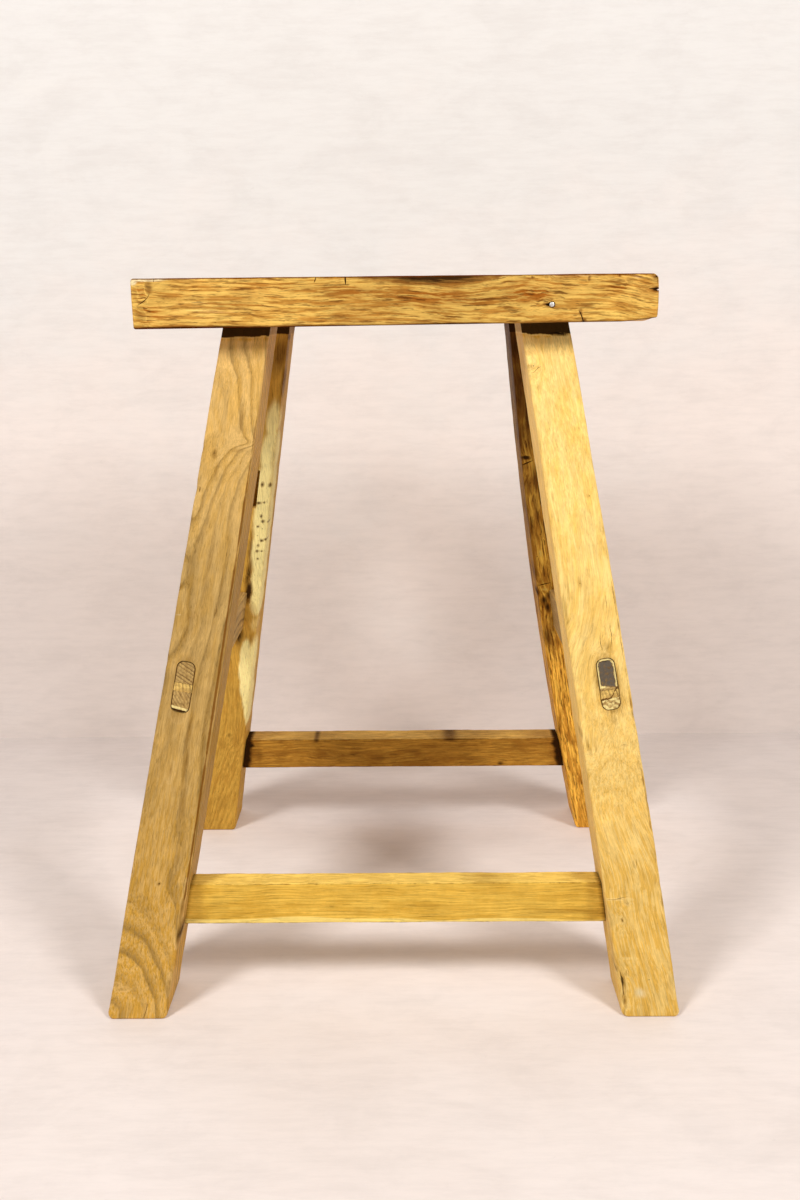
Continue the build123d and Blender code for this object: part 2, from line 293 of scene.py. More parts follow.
def crack(path, half_width, depth, inward=BACK):
    """a cutting shape for a crack: widest in the middle of its path on the surface, closing below it"""
    steps = len(path) - 1
    mesh = bmesh.new()
    bmesh.ops.create_grid(mesh, x_segments=steps, y_segments=1, size=0.5)
    inward = inward.normalized()
    for vert in mesh.verts:
        index = round((vert.co.x + 0.5) * steps)
        here = Vector(path[index])
        ahead = Vector(path[min(index + 1, steps)]) - Vector(path[max(index - 1, 0)])
        aside = ahead.cross(inward).normalized()
        swell = 0.12 + 0.88 * math.sin(math.pi * (index + 0.5) / (steps + 1))
        vert.co = here + aside * (half_width * swell * math.copysign(1, vert.co.y)) - inward * CRACK_LIFT
    made = bmesh.ops.extrude_face_region(mesh, geom=mesh.faces[:])["geom"]
    for vert in [g for g in made if isinstance(g, bmesh.types.BMVert)]:
        nearest = min(range(steps + 1), key=lambda i: (Vector(path[i]) - inward * CRACK_LIFT - vert.co).length)
        swell = 0.3 + 0.7 * math.sin(math.pi * (nearest + 0.5) / (steps + 1))
        centre = Vector(path[nearest])
        vert.co = centre + (vert.co + inward * CRACK_LIFT - centre) * CRACK_CLOSING + inward * depth * swell
    bmesh.ops.recalc_face_normals(mesh, faces=mesh.faces)
    return mesh


def pit(place, inward, radius, depth):
    """a cutting shape for a worm hole or pit"""
    mesh = bmesh.new()
    bmesh.ops.create_cone(mesh, cap_ends=True, segments=9, radius1=radius * 0.7, radius2=radius, depth=depth + 2)
    turn = Vector((0, 0, 1)).rotation_difference(-inward.normalized()).to_matrix().to_4x4()
    shift = Matrix.Translation(Vector(place) + inward.normalized() * (depth / 2 - 1))
    bmesh.ops.transform(mesh, matrix=shift @ turn, verts=mesh.verts)
    return mesh


# How the annual rings lie in each leg, counted from its front face: the pith's path as height, place across and depth
# behind that face; the slant of the rings along the leg as height and slant; how far the grain sways; and its knots as
# (across, high, size, rings pushed aside). The front left leg's rings are in TRACED instead
FIGURES = {
    "front_left": dict(
        pith=((0, 0, 40),), sway=0.0, knots=((-22, 308, 8, 1.7), (-21, 300, 4, 0.6), (-15, 246, 5, 0.3)),
    ),
    "front_right": dict(
        pith=((0, 14, 50), (90, 6, 46), (150, -4, 40), (215, 6, 46), (300, 30, 50), (468, 16, 55)),
        slants=((0, 0.02), (100, 0.04), (140, 0.22), (205, 0.2), (240, 0.0), (330, 0.03), (400, 0.12), (500, 0.08)),
        sway=2.4,
        knots=((-12, 444, 6, 2.0), (7, 257, 7, 1.2), (-10, 68, 6, 1.2), (-16, 20, 8, 1.6), (-14, 186, 7, 1.2)),
    ),
    "back_left": dict(
        pith=((0, 30, 30), (120, 34, 30), (468, -20, 40)),
        slants=((0, 0.09), (110, 0.07), (150, 0.0), (500, 0.0)), sway=2.5,
        knots=((10, 100, 8, 1.4), (6, 250, 9, 1.8)),
    ),
    "back_right": dict(
        pith=((0, 34, 34), (468, 30, 36)), slants=((0, 0.02), (500, 0.01)), sway=2.5,
        knots=((-14, 352, 9, 1.8), (-12, 236, 10, 1.8)),
    ),
}


# The tan leg's rings as they run over its front face: a row for each height, a value for each place across
TRACED_ACROSS = (-22, -14, -6, 2, 10, 18, 24)
TRACED = (
    (0, (-0.9, -0.2, 0.3, 0.8, 1.5, 2.2, 2.8)), (10, (-0.4, 0.0, 0.35, 0.85, 1.7, 2.6, 3.3)),
    (20, (0.3, 0.55, 0.85, 1.4, 2.1, 3.0, 3.8)), (31, (0.9, 1.05, 1.35, 1.95, 2.6, 3.6, 4.3)),
    (40, (1.3, 1.55, 1.95, 2.4, 3.1, 4.0, 4.6)), (50, (2.0, 2.15, 2.45, 2.95, 3.7, 4.5, 5.0)),
    (57, (2.4, 2.6, 2.9, 3.4, 4.15, 4.8, 5.2)), (67, (3.0, 3.15, 3.45, 3.95, 4.5, 4.95, 5.4)),
    (77, (3.5, 3.6, 3.9, 4.3, 4.7, 5.1, 5.6)), (88, (4.0, 4.1, 4.3, 4.6, 4.9, 5.3, 5.8)),
    (98, (4.15, 4.25, 4.4, 4.65, 5.0, 5.5, 6.0)), (110, (4.2, 4.3, 4.45, 4.65, 4.95, 5.4, 5.9)),
    (129, (4.1, 4.3, 4.5, 4.7, 4.97, 5.5, 6.1)), (160, (3.6, 4.0, 4.35, 4.7, 5.2, 5.8, 6.4)),
    (200, (3.0, 3.5, 4.1, 4.75, 5.5, 6.1, 6.7)), (243, (2.6, 3.1, 3.75, 4.55, 5.4, 6.1, 6.7)),
    (260, (2.3, 2.7, 3.25, 4.1, 5.2, 6.0, 6.6)), (272, (2.1, 2.5, 3.0, 3.9, 5.05, 5.9, 6.5)),
    (288, (2.0, 2.5, 3.3, 4.1, 4.85, 5.6, 6.3)), (310, (2.0, 2.5, 3.3, 4.15, 4.8, 5.7, 6.4)),
    (330, (2.0, 2.5, 3.3, 4.1, 4.95, 5.7, 6.4)), (352, (1.2, 1.6, 2.8, 3.95, 5.05, 6.0, 6.6)),
    (360, (1.0, 1.5, 2.5, 3.7, 4.8, 5.8, 6.4)), (370, (0.8, 1.3, 2.1, 3.3, 4.5, 5.6, 6.2)),
    (380, (0.6, 1.1, 1.7, 2.65, 3.7, 5.0, 5.8)), (388, (0.5, 0.9, 1.2, 1.9, 3.1, 4.1, 5.0)),
    (393, (0.3, 0.8, 1.02, 1.3, 1.6, 2.6, 4.6)), (397, (0.2, 0.7, 0.98, 1.45, 1.85, 3.1, 4.6)),
    (405, (0.2, 0.6, 0.9, 1.55, 2.3, 3.5, 4.8)), (415, (0.2, 0.55, 0.87, 1.7, 2.6, 4.1, 5.0)),
    (425, (0.3, 0.6, 1.0, 1.85, 2.85, 4.5, 5.3)), (435, (0.5, 0.9, 1.45, 2.1, 3.1, 4.8, 5.6)),
    (445, (0.7, 1.15, 1.8, 2.5, 3.6, 5.0, 5.8)), (455, (0.8, 1.35, 2.15, 2.95, 3.95, 5.2, 6.0)),
    (470, (0.9, 1.5, 2.4, 3.3, 4.4, 5.5, 6.3)), (510, (1.0, 1.6, 2.5, 3.4, 4.5, 5.6, 6.4)),
)


def threaded(places, values, at):
    """a smooth curve through some values, at a place"""
    last = len(places) - 2
    i = max(0, min(last, sum(1 for p in places[1:-1] if p <= at)))
    gap = places[i + 1] - places[i]
    share = max(0.0, min(1.0, (at - places[i]) / gap))
    before, after = max(i - 1, 0), min(i + 2, last + 1)
    low = (values[i + 1] - values[before]) / (places[i + 1] - places[before]) * gap
    high = (values[after] - values[i]) / (places[after] - places[i]) * gap
    s2, s3 = share * share, share**3
    start = (2 * s3 - 3 * s2 + 1) * values[i] + (s3 - 2 * s2 + share) * low
    return start + (3 * s2 - 2 * s3) * values[i + 1] + (s3 - s2) * high


def traced_rings(across, high):
    """the tan leg's ring count at a place on its front face"""
    near = max(1, min(len(TRACED) - 3, sum(1 for row in TRACED[1:-1] if row[0] <= high)))
    rows = TRACED[near - 1:near + 3]
    return threaded([row[0] for row in rows], [threaded(TRACED_ACROSS, row[1], across) for row in rows], high)


def along_path(path, high):
    """the values of a path of (height, value, value) at a height"""
    if high <= path[0][0]:
        return path[0][1:]
    for low, top in zip(path, path[1:]):
        if high <= top[0]:
            share = smooth_step(low[0], top[0], high)
            return tuple(blend(a, b, share) for a, b in zip(low[1:], top[1:]))
    return path[-1][1:]


def slanted(slants, z):
    """how far the rings have moved at a height, summed up over the pieces of a broken line"""
    moved = 0.0
    for (low, a), (high, b) in zip(slants, slants[1:]):
        top = min(z, high)
        if top <= low:
            break
        share = (top - low) / (high - low)
        moved += (top - low) * (a + blend(a, b, share)) / 2
    return moved


def leg_grain(leg, across, deep, high):
    """the number of rings from the pith, and the places across and along the grain, in millimetres"""
    figure = FIGURES[leg.name]
    seed, sway = leg.seed, figure["sway"]
    behind = deep + LEG_DEPTH / 2
    pith_across, pith_behind = along_path(figure["pith"], high)
    a = across - pith_across + sway * drift(high * 0.010, seed, across * 0.02)
    b = behind + pith_behind + sway * drift(high * 0.008, seed + 5, deep * 0.02)
    if leg.name == "front_left":
        rings = RING[leg.name] * (traced_rings(across, high) + 0.11 * behind)
    else:
        rings = math.hypot(a, b) + slanted(figure["slants"], max(high, 0))
    waver = 0.55 * drift(high * 0.045, across * 0.09, seed + deep * 0.05)
    rings += waver + 0.22 * drift(high * 0.14, across * 0.2, seed)
    rings /= RING[leg.name]
    for x, z, size, push in figure["knots"]:
        away = ((across - x) / size) ** 2 + ((high - z) / size / 1.4) ** 2 + (behind / size / 2) ** 2
        if away < 9:
            rings += push * math.exp(-away)
    return rings, math.atan2(a, b) * 60, high


def ellipse(value, marks, x, y):
    """the strongest of a value and some soft round marks at a place"""
    for mx, my, w, h, strength in marks:
        away = ((x - mx) / w) ** 2 + ((y - my) / h) ** 2
        if away < 6:
            value = max(value, strength * math.exp(-away))
    return value


# Marks on the leg faces: across and high, half width and half height, and strength. Dark ones on the face that the
# photograph shows, then pale ones
DARK_MARKS = {
    "front_left": (
        (0.9, 95, 2.0, 2.0, 0.5), (-19.5, 362, 2.6, 6.0, 0.9), (-8.0, 386, 2.6, 4.0, 0.5), (-17, 298, 4, 2.2, 0.4),
        (5, 200, 2.6, 20, 0.42), (6, 178, 2.6, 16, 0.42), (8.5, 150, 2.4, 18, 0.34), (-3.7, 172, 3.0, 9, 0.3),
        (0.5, 310, 3.0, 34, 0.26), (-5, 278, 8, 5, 0.26), (10, 281, 2.4, 5, 0.34), (-4.1, 230, 7.0, 18.5, 0.8),
        (11, 300, 2.2, 22, 0.28), (-8, 266, 3, 7, 0.3), (7, 410, 2.4, 14, 0.34), (8, 388, 9, 2.4, 0.3),
        (-5, 376, 2.2, 8, 0.34), (20.5, 60, 2.2, 9, 0.7), (19.5, 80, 1.6, 18, 0.4), (-19.8, 104, 1.6, 3, 0.5),
        (-13, 21, 6, 1.8, 0.34), (-18, 24, 4, 2.2, 0.34), (19, 24, 2.4, 9, 0.34), (11, 112, 1.8, 12, 0.3),
    ),
    "front_right": (
        (5.4, 230, 7.8, 18.8, 1.0), (7.5, 222, 8.0, 14, 0.6), (5.4, 207, 4, 6, 0.4), (-10.0, 68, 1.3, 2.0, 0.6),
        (-15.6, 26, 1.8, 8, 0.5), (-16.8, 12, 2.0, 6, 0.5), (-19, 33, 1.6, 3, 0.45), (-12.6, 31, 1.2, 3, 0.45),
        (-20.2, 60, 1.4, 40, 0.36), (-11, 82.6, 11, 0.8, 0.3), (8.7, 255, 4.5, 8, 0.36), (19.5, 209, 1.6, 4, 0.42),
        (-18, 196, 1.4, 5, 0.34), (-15, 189, 1.8, 7, 0.36), (-13.4, 184, 1.6, 5, 0.32), (-9.8, 188, 1.4, 6, 0.3),
        (10, 188.6, 4, 1.8, 0.32), (-14, 441, 4, 3.4, 0.3), (-9, 441, 2, 2, 0.34), (-10, 428, 3, 4, 0.26),
        (9, 462, 6, 1.4, 0.8), (-3, 298, 2, 5, 0.34), (-16, 280, 1.8, 20, 0.36), (-12, 292, 1.4, 14, 0.34),
        (-19, 262, 1.6, 26, 0.36), (19.8, 285, 1.6, 4, 0.4), (-8, 272, 1.6, 9, 0.24), (19.8, 150, 1.6, 14, 0.4),
        (18, 176, 2.4, 8, 0.3), (-12, 128, 2, 16, 0.24), (9, 128, 2, 14, 0.22), (19.8, 80, 1.6, 8, 0.4),
        (-13, 355, 1.6, 6, 0.3), (11, 356, 1.6, 2.2, 0.34), (-5, 80, 3, 2.4, 0.26), (4, 107, 1.6, 7, 0.3),
        (-9, 41, 12, 1.2, 0.16), (17, 22, 3, 14, 0.2),
    ),
    "back_left": (
        # the first five marks are painted shade: the front leg's shadow on this face above the side stretcher, and the
        # dark gap around its joint
        (7.8, 246, 3, 10, 1.0), (6.0, 262, 2.6, 18, 0.7), (5, 285, 2.2, 24, 0.5), (4, 205, 4, 9, 0.75),
        (3, 225, 3.4, 10, 0.8), (18.7, 460, 3.4, 4, 0.95), (11, 447, 12, 17, 0.5), (17, 428, 3, 17, 0.55),
        (15, 410, 2.0, 14, 0.3), (22, 400, 3, 40, 0.34), (22.5, 330, 1.8, 60, 0.4), (14, 199, 2.2, 9, 0.34),
        (21, 214, 3, 16, 0.3), (15.5, 341, 1.6, 2.2, 0.6), (9.2, 341.5, 1.8, 3, 0.6), (8, 325.5, 2.2, 1.6, 0.7),
        (12.4, 326, 1.4, 1.2, 0.6), (11.2, 314, 1.4, 2.2, 0.6), (13, 309.5, 1.8, 1.8, 0.6), (17.5, 309, 1.4, 1.2, 0.5),
        (9.4, 305, 1.6, 1.6, 0.5), (14, 292.5, 2.2, 1.6, 0.6), (17, 293.5, 1.6, 1.2, 0.6), (11.4, 288, 1.6, 2.2, 0.5),
        (11, 283, 1.8, 1.6, 0.6), (15, 283, 1.6, 1.2, 0.5), (12.4, 276, 1.6, 1.4, 0.5), (5, 104, 3, 3, 0.4),
        (16, 62, 6, 2, 0.2),
    ),
    "back_right": (
        (-13.6, 362, 4, 1.6, 1.0), (-13, 452, 10, 22, 0.62), (-14, 420, 8, 28, 0.5), (-9, 395, 3, 30, 0.5),
        (-17, 385, 2.4, 24, 0.4), (-8, 343, 2.2, 14, 0.6), (-14, 338, 3, 12, 0.4), (-10, 318, 2.0, 18, 0.45),
        (-17, 312, 2.2, 20, 0.4), (-12, 300, 1.6, 14, 0.36), (-18.5, 243, 3, 5, 0.7), (-8, 240, 3, 5, 0.6),
        (-13, 236, 2.8, 4, 0.75), (-11, 229, 2.2, 5, 0.8), (-14.5, 202, 5, 13, 0.5), (-9, 212, 3, 10, 0.4),
        (-17, 262, 2, 9, 0.5), (-10, 262, 2, 6, 0.45), (-13, 150, 2.4, 26, 0.25), (-17.5, 165, 1.6, 30, 0.25),
        (-10, 120, 2, 26, 0.22),
    ),
}
PALE_MARKS = {
    "front_left": ((-14, 389, 5, 1.6, 0.3), (-19, 390, 3, 3, 0.35), (-16, 279, 7, 1.4, 0.4), (-18.5, 310, 3, 4, 0.35)),
    "front_right": ((-5.4, 17.0, 7, 6, 0.5), (2, 440, 14, 30, 0.3), (3, 142, 8, 9, 0.3), (2, 380, 14, 30, 0.2)),
    "back_left": (
        (12, 394, 7, 20, 0.75), (13, 368, 8.5, 22, 1.0), (13, 340, 9.5, 24, 1.05), (14, 312, 9.5, 26, 1.05),
        (15, 284, 9.5, 24, 1.05), (16.5, 258, 8.5, 20, 1.0), (17, 238, 7.5, 16, 0.95), (11, 188, 4.4, 13, 1.1),
        (12, 174, 5.0, 16, 1.2), (15, 158, 5.4, 16, 1.2), (18, 144, 5.0, 14, 1.15), (20, 131, 4.2, 12, 1.1),
        (21, 121, 3.0, 9, 1.0), (17, 216, 9, 14, 0.4), (19, 180, 6, 26, 0.8),
    ),
    "back_right": (
        (-11, 279, 2.4, 5, 0.55), (-14.5, 270, 1.6, 4, 0.4), (-11.2, 246, 3.4, 2.0, 0.6), (-16, 292, 1.6, 6, 0.3),
    ),
}
# How dark the dirt is along the left and right front arrises
ARRIS_LINES = {
    "front_left": (0.72, 1.0), "front_right": (0.78, 0.66), "back_left": (0.5, 0.7), "back_right": (0.7, 0.5),
}
# How golden the wood is near the foot, and behind the front face
GOLDEN = {"front_left": (0.75, 1.0), "front_right": (0.6, 0.0), "back_left": (0.15, 0.2), "back_right": (0.15, 0.2)}
LEG_ARRIS = 0.5


def leg_paint(leg):
    """the function that gives a leg's grain and tone at each place"""
    dark, pale = DARK_MARKS[leg.name], PALE_MARKS[leg.name]
    golden_low, golden_side = GOLDEN[leg.name]
    hollow_shade = 0.46 if leg.name == "back_left" else 1.0

    def paint(place):
        across, deep, high = leg.local(place)
        grain = leg_grain(leg, across, deep, high)
        half = leg.width(high) / 2
        behind = deep + LEG_DEPTH / 2
        near_x = half - abs(across)
        near_y = LEG_DEPTH / 2 - abs(deep)
        arris = LEG_ARRIS * math.exp(-(max(near_x, 0) + max(near_y, 0)) / 1.6)
        # the photographed face of a back leg is its front one too
        faced = smooth_step(9, -15, deep)
        stain = ellipse(0, dark, across, high) * faced
        sapwood = ellipse(0, pale, across, high) * smooth_step(LEG_DEPTH, 8, abs(behind))
        if 3 < high < SHOULDER - 2 and behind < 12:
            # painted shade in the insides of cracks, worm holes and mortises
            stain = max(stain, hollow_shade * smooth_step(0.8, 1.2, behind) * smooth_step(2.6, 4, near_x))
        # a band at the top, under the seat: scorch with painted shade from the seat's overhang, black at the top and
        # browned below, weaker on the side faces
        scorched_and_shaded = smooth_step(SHOULDER - 6.6, SHOULDER - 4.0, high + 0.7 * drift(across * 0.12, leg.seed))
        scorched_and_shaded *= blend(0.25, 1, smooth_step(4, 1.5, near_y))
        browned_and_shaded = smooth_step(SHOULDER - 10, SHOULDER - 6, high + 1.2 * drift(across * 0.2, leg.seed + 4))
        stain = max(stain, scorched_and_shaded * 1.5)
        golden = max(golden_low * smooth_step(330, 40, high), golden_side * smooth_step(0.8, 3, behind))
        golden = max(0.9 * browned_and_shaded, golden)
        stain = stain if stain > 0.12 else -golden
        # old dirt in a line along each front arris
        for hand, strength in zip((-1, 1), ARRIS_LINES[leg.name]):
            off = math.hypot(half - hand * across, behind)
            broken = smooth_step(-1.3, -0.1, drift(high * 0.03, leg.seed + hand, 1.0))
            arris = max(arris, strength * (0.6 + 0.4 * broken) * math.exp(-((off / 1.25) ** 2)))
        return grain, (stain, sapwood, arris)

    return paint


LEG_ROWS, LEG_TENON_ROWS, FOOT_ROWS = 380, 10, 8
# How much of each face has been planed off everywhere, which keeps the legs inside the solid stool's box
FACE_TRIM_X, FACE_TRIM_Y = 0.26, 0.12
# How far a mortise's cutting shape runs past a leg's face
CUT_PAST = 14.0


def leg_height(row, foot_round, top):
    """the height of a row of a leg's grid: fine over the rounded foot, then even"""
    if row <= FOOT_ROWS:
        return foot_round * (1 - math.cos(math.pi / 2 * row / FOOT_ROWS))
    return blend(foot_round, top, (row - FOOT_ROWS) / (LEG_ROWS - FOOT_ROWS))


def rounded_in(radius, high):
    """how far a side that ends in a round edge has drawn in at a height over the end"""
    return 0.0 if high >= radius else radius - math.sqrt(max(0.0, radius**2 - (radius - high) ** 2))


# Dents and chips in the arrises: across sign, deep sign, height, half height and depth in millimetres
CHIPS = {
    "front_left": (
        (-1, -1, 362, 5, 1.8), (-1, -1, 389, 3, 1.0), (1, -1, 72, 9, 1.6), (1, -1, 42, 12, 1.2), (-1, -1, 246, 3, 0.9),
    ),
    "front_right": (
        (1, -1, 209, 5, 1.6), (1, -1, 150, 3, 0.9), (-1, -1, 64, 10, 1.6), (-1, -1, 25, 14, 2.2), (1, -1, 92, 3, 0.9),
    ),
    "back_left": ((1, -1, 371, 5, 1.6), (1, -1, 360, 5, 1.4), (1, -1, 343, 4, 1.2), (1, 1, 120, 6, 1.5)),
    "back_right": ((-1, -1, 361, 3, 1.2), (-1, -1, 250, 5, 1.2), (1, 1, 200, 7, 1.5)),
}


def planed(z, pace, aside, seed):
    """how far a face is planed in at a height, in long waves and short ones"""
    return 0.45 * (1 + drift(z * pace, seed, aside * 0.7)) / 2 + 0.14 * (1 + drift(z * 0.07, aside * 3, seed))


def make_leg(leg, material):
    foot_round, sole_round = 5.0, 1.3
    rows = LEG_ROWS + LEG_TENON_ROWS + 1
    top = SHOULDER + SEAT_THINNING * (leg.middle_x(SHOULDER) + HALF_LENGTH) / SEAT_LENGTH
    mesh = gridded_block((32, 22, rows - 1))
    for vert in mesh.verts:
        u = math.sin(vert.co.x * math.pi)
        v = math.sin(vert.co.y * math.pi)
        row = round((vert.co.z + 0.5) * rows)
        if row > LEG_ROWS:
            z = blend(top, SEAT_HEIGHT, (row - LEG_ROWS - 1) / LEG_TENON_ROWS)
            vert.co = leg.middle(z) + Vector((*rounded_section(u, v, TENON_WIDTH / 2, TENON_DEPTH / 2, 0.5), 0))
            continue
        z = leg_height(row, foot_round, top)
        share = z / SHOULDER
        belly = leg.inner_belly if u * leg.side < 0 else leg.outer_belly
        half_x = leg.width(z) / 2 + belly * 4 * share * (1 - share) * smooth_step(0, 0.4, abs(u))
        half_x -= rounded_in(foot_round if u * leg.side > 0 else foot_round * 0.6, z)
        half_y = LEG_DEPTH / 2 - rounded_in(sole_round, z)
        corner = 11 * math.copysign(1, u) + 5 * math.copysign(1, v) + leg.seed
        wear = 1.7 + 0.8 * drift(z * 0.02, corner) + 0.5 * drift(z * 0.11, corner)
        for su, sv, high, reach, depth in CHIPS[leg.name]:
            if u * su > 0 and v * sv > 0:
                wear += depth * 2.2 * math.exp(-(((z - high) / reach) ** 2))
        local = Vector((*rounded_section(u, v, half_x, half_y, min(7.0, max(0.7, wear))), 0))
        level = smooth_step(0, 12, z)
        planed_x, planed_y = planed(z, 0.011, v, leg.seed), planed(z, 0.012, u, leg.seed + 9)
        local.x -= (FACE_TRIM_X + planed_x * level) * max(-1.0, min(1.0, local.x / 6))
        local.y -= (FACE_TRIM_Y + planed_y * level) * max(-1.0, min(1.0, local.y / 6))
        vert.co = leg.middle(z) + Vector((local.x, local.y, 0))
    cutter = bmesh.new()
    end_name, side_name = leg.name.split("_")
    # the side stretcher's mortise
    join_into(cutter, prism(
        side_mortise(side_name), BACK * leg.end,
        abs(leg.inner_y(SIDE_MIDDLE)) - CUT_PAST, abs(leg.outer_y(SIDE_MIDDLE)) + CUT_PAST,
    ))
    # the long stretcher's mortise
    middle_z, _, _, tenon_height, tenon_thickness = RAILS[end_name]
    y, z = leg.middle_y(middle_z), middle_z
    reach, half = abs(leg.middle_x(z)), leg.width(z) / 2
    a, b = tenon_thickness / 2 + JOINT_ROOM * 0.6, tenon_height / 2 + JOINT_ROOM * 0.6
    join_into(cutter, prism(
        [(0, y - a, z - b), (0, y + a, z - b), (0, y + a, z + b), (0, y - a, z + b)],
        Vector((leg.side, 0, 0)), reach - half - 12, reach + half + 12,
    ))
    # the unused mortise
    up, across = leg.axes()
    floor_y = leg.inner_y(OLD_MORTISE_MIDDLE) + leg.end * OLD_MORTISE_DEPTH
    middle = Vector((leg.middle_x(OLD_MORTISE_MIDDLE), 0, OLD_MORTISE_MIDDLE))
    a, b = OLD_MORTISE_WIDTH / 2, OLD_MORTISE_HEIGHT / 2
    join_into(cutter, prism(
        [middle + across * sx * a + up * sz * b for sx, sz in ((-1, -1), (1, -1), (1, 1), (-1, 1))],
        BACK * leg.end, leg.end * (leg.inner_y(OLD_MORTISE_MIDDLE) - leg.end * CUT_PAST), leg.end * floor_y,
    ))
    # the slot for the wedge in the tenon's top
    join_into(cutter, wedge_shape(
        leg.middle(SEAT_HEIGHT), leg.slope(), BACK, TENON_DEPTH + 4, SEAT_WEDGE_MOUTH, WEDGE_ROOM, 6.0,
    ))
    for made in leg_cracks(leg):
        join_into(cutter, made)
    finished(leg.name + "_leg", mesh, material, LEG_SLOTS[leg.name], leg_paint(leg), cutter)


def on_face(leg, across, high):
    """a place on a leg's face towards the front"""
    return Vector((leg.middle_x(high) + across, leg.middle_y(high) - LEG_DEPTH / 2, high))


# Cracks in the photographed faces as paths of (across, high), with half width and depth, and worm holes as
# (across, high, radius)
LEG_CRACKS = {
    "front_left": (
        (((6.8, 14), (6.0, 9), (5.6, 4), (5.0, -2)), 0.3, 3.0),
        (((9.0, 287), (10.4, 281), (9.6, 276)), 0.3, 1.5),
        (((18.6, 103), (18.0, 96), (18.6, 88)), 0.35, 1.5),
    ),
    "front_right": (
        (((2, 463.0), (6, 463.2), (10, 462.2), (13, 462.8)), 0.64, 2.6),
        (((5.0, 253), (4.2, 258), (5.2, 263)), 0.35, 2.0),
        (((10.5, 254), (12.8, 262), (12.4, 270)), 0.38, 2.0),
        (((12.6, 290), (12.2, 281)), 0.35, 1.3),
        (((-20.0, 35), (-17.6, 31), (-16.4, 27.5)), 0.4, 1.4),
        (((-13.4, 34), (-14.4, 28.5), (-15.0, 21), (-16.4, 14), (-17, 8)), 0.32, 1.0),
        (((-11.6, 33.5), (-11.0, 30)), 0.35, 1.2),
        (((-10.6, 69.4), (-9.8, 67.6), (-10.4, 65.8)), 0.4, 1.2),
        (((-20.6, 82.6), (-14, 82.0), (-8, 83.4), (-1.5, 84.8)), 0.5, 1.4),
        (((-6.5, 80.6), (-4.6, 78.8), (-3, 80.4)), 0.35, 0.9),
        (((-19.6, 199), (-17.8, 194), (-17.0, 190)), 0.3, 0.8),
        (((-16.0, 196), (-14.9, 188), (-13.8, 182)), 0.36, 0.9),
        (((-10.6, 191), (-9.4, 184)), 0.28, 0.8),
        (((7.0, 187.4), (9.6, 189.2), (12.6, 188.4)), 0.34, 0.8),
        (((6.5, 112.5), (5.8, 107), (4.9, 102)), 0.38, 1.2),
        (((8.0, 64.6), (14, 65.2), (19.2, 64.4)), 0.32, 0.8),
        (((-15, 437), (-12.0, 437.6), (-9.0, 440.4), (-6.6, 441.4)), 0.38, 1.8),
        (((-12.5, 429), (-11.2, 426.3), (-10.8, 423)), 0.35, 1.0),
    ),
    "back_left": (
        (((18.6, 392), (18.0, 384)), 0.5, 2.5),
        (((18.6, 376), (18.2, 371), (18.8, 366)), 0.6, 3.0),
        (((18.3, 362), (18.0, 357), (18.4, 352)), 0.5, 2.5),
        (((18.5, 347), (18.3, 343)), 0.5, 2.0),
    ),
    "back_right": (
        (((-20.0, 354.4), (-14, 357.2), (-7.5, 360)), 0.8, 3.0),
        (((-19.6, 248.6), (-12, 250.5), (-5.0, 252.4)), 0.9, 3.4),
        (((-17, 362.6), (-13.5, 363.6), (-10, 363.0)), 0.6, 2.0),
    ),
}
WORM_HOLES = {
    "back_left": (
        (9.0, 341.5, 0.9), (14.9, 340, 0.75), (19.3, 330, 0.6), (8.0, 325.5, 0.85), (12.4, 326, 0.65),
        (11.2, 314, 0.85), (12.8, 309.3, 0.85), (17.5, 309, 0.65), (9.4, 305, 0.75), (13.4, 303, 0.55),
        (9.8, 297, 0.55), (13.9, 292.4, 0.9), (17.0, 293.4, 0.75), (11.2, 288.4, 0.8), (11.0, 283, 0.8),
        (14.9, 283, 0.7), (12.4, 276.4, 0.7), (16.4, 299, 0.5),
    ),
    "front_right": ((2.2, 26, 0.5), (-15.5, 441.8, 0.7), (-12, 441.6, 0.5), (12, 356, 0.45), (-3.4, 298, 0.4)),
    "front_left": ((0.9, 95, 0.6), (-3, 222, 0.4)),
    "back_right": ((-9, 296, 0.6), (-14, 276, 0.6), (-7, 242, 0.5)),
}


def leg_cracks(leg):
    """the cutting shapes of a leg's cracks and worm holes"""
    made = []
    for path, half_width, depth in LEG_CRACKS[leg.name]:
        places = jagged(
            path, lambda x, z: 0.25 * drift(z * 1.7 + 0.5, x, leg.seed), lambda x, z: on_face(leg, x, z),
        )
        made.append(crack(places, half_width, depth))
    for across, high, radius in WORM_HOLES[leg.name]:
        made.append(pit(on_face(leg, across, high), Vector((0.1, 1, 0.15 * drift(high))), radius, 0.6 + radius))
    return made


# The place of the nail's head in the seat's front edge
NAIL_Z = SEAT_HEIGHT - SEAT_THICKNESS * 0.594
NAIL_X = LEGS["front_right"].middle_x(NAIL_Z) + 3.8
# The seat. Cracks in its front edge as paths of (x, z), with half width and depth
SEAT_CRACKS = (
    (((-155.6, 501), (-155.2, 498.8), (-155.6, 497.4)), 0.45, 2.5),
    (((-50.6, 500.5), (-51.0, 498), (-51.8, 496.0)), 0.65, 2.5),
    (((-31.8, 501.5), (-31.6, 497.5), (-31.5, 494.7)), 0.85, 4.0),
    (((-167.2, 482.6), (-163.5, 485.0), (-160.6, 487.2), (-158.2, 490.5)), 0.5, 2.0),
    (((119.4, 477.2), (121.3, 473.8), (123.2, 468.2)), 0.6, 3.0),
)
# The check in the right end's front corner, and the outline of the nail's torn hole around the nail
SEAT_CHECK = (
    (164.5, -105, 490.4), (167.5, -105.2, 490.1), (170, -104.6, 489.8), (171.5, -101.5, 489.6), (172, -96, 489.4),
)
TORN_HOLE = (
    (-4.0, 0.0), (-2.2, -1.0), (-0.8, -1.8), (0.8, -1.9), (1.9, -1.0), (2.0, 0.8), (0.9, 1.9), (-0.8, 1.9), (-2.2, 1.0),
)
TORN_DEPTH = 2.4
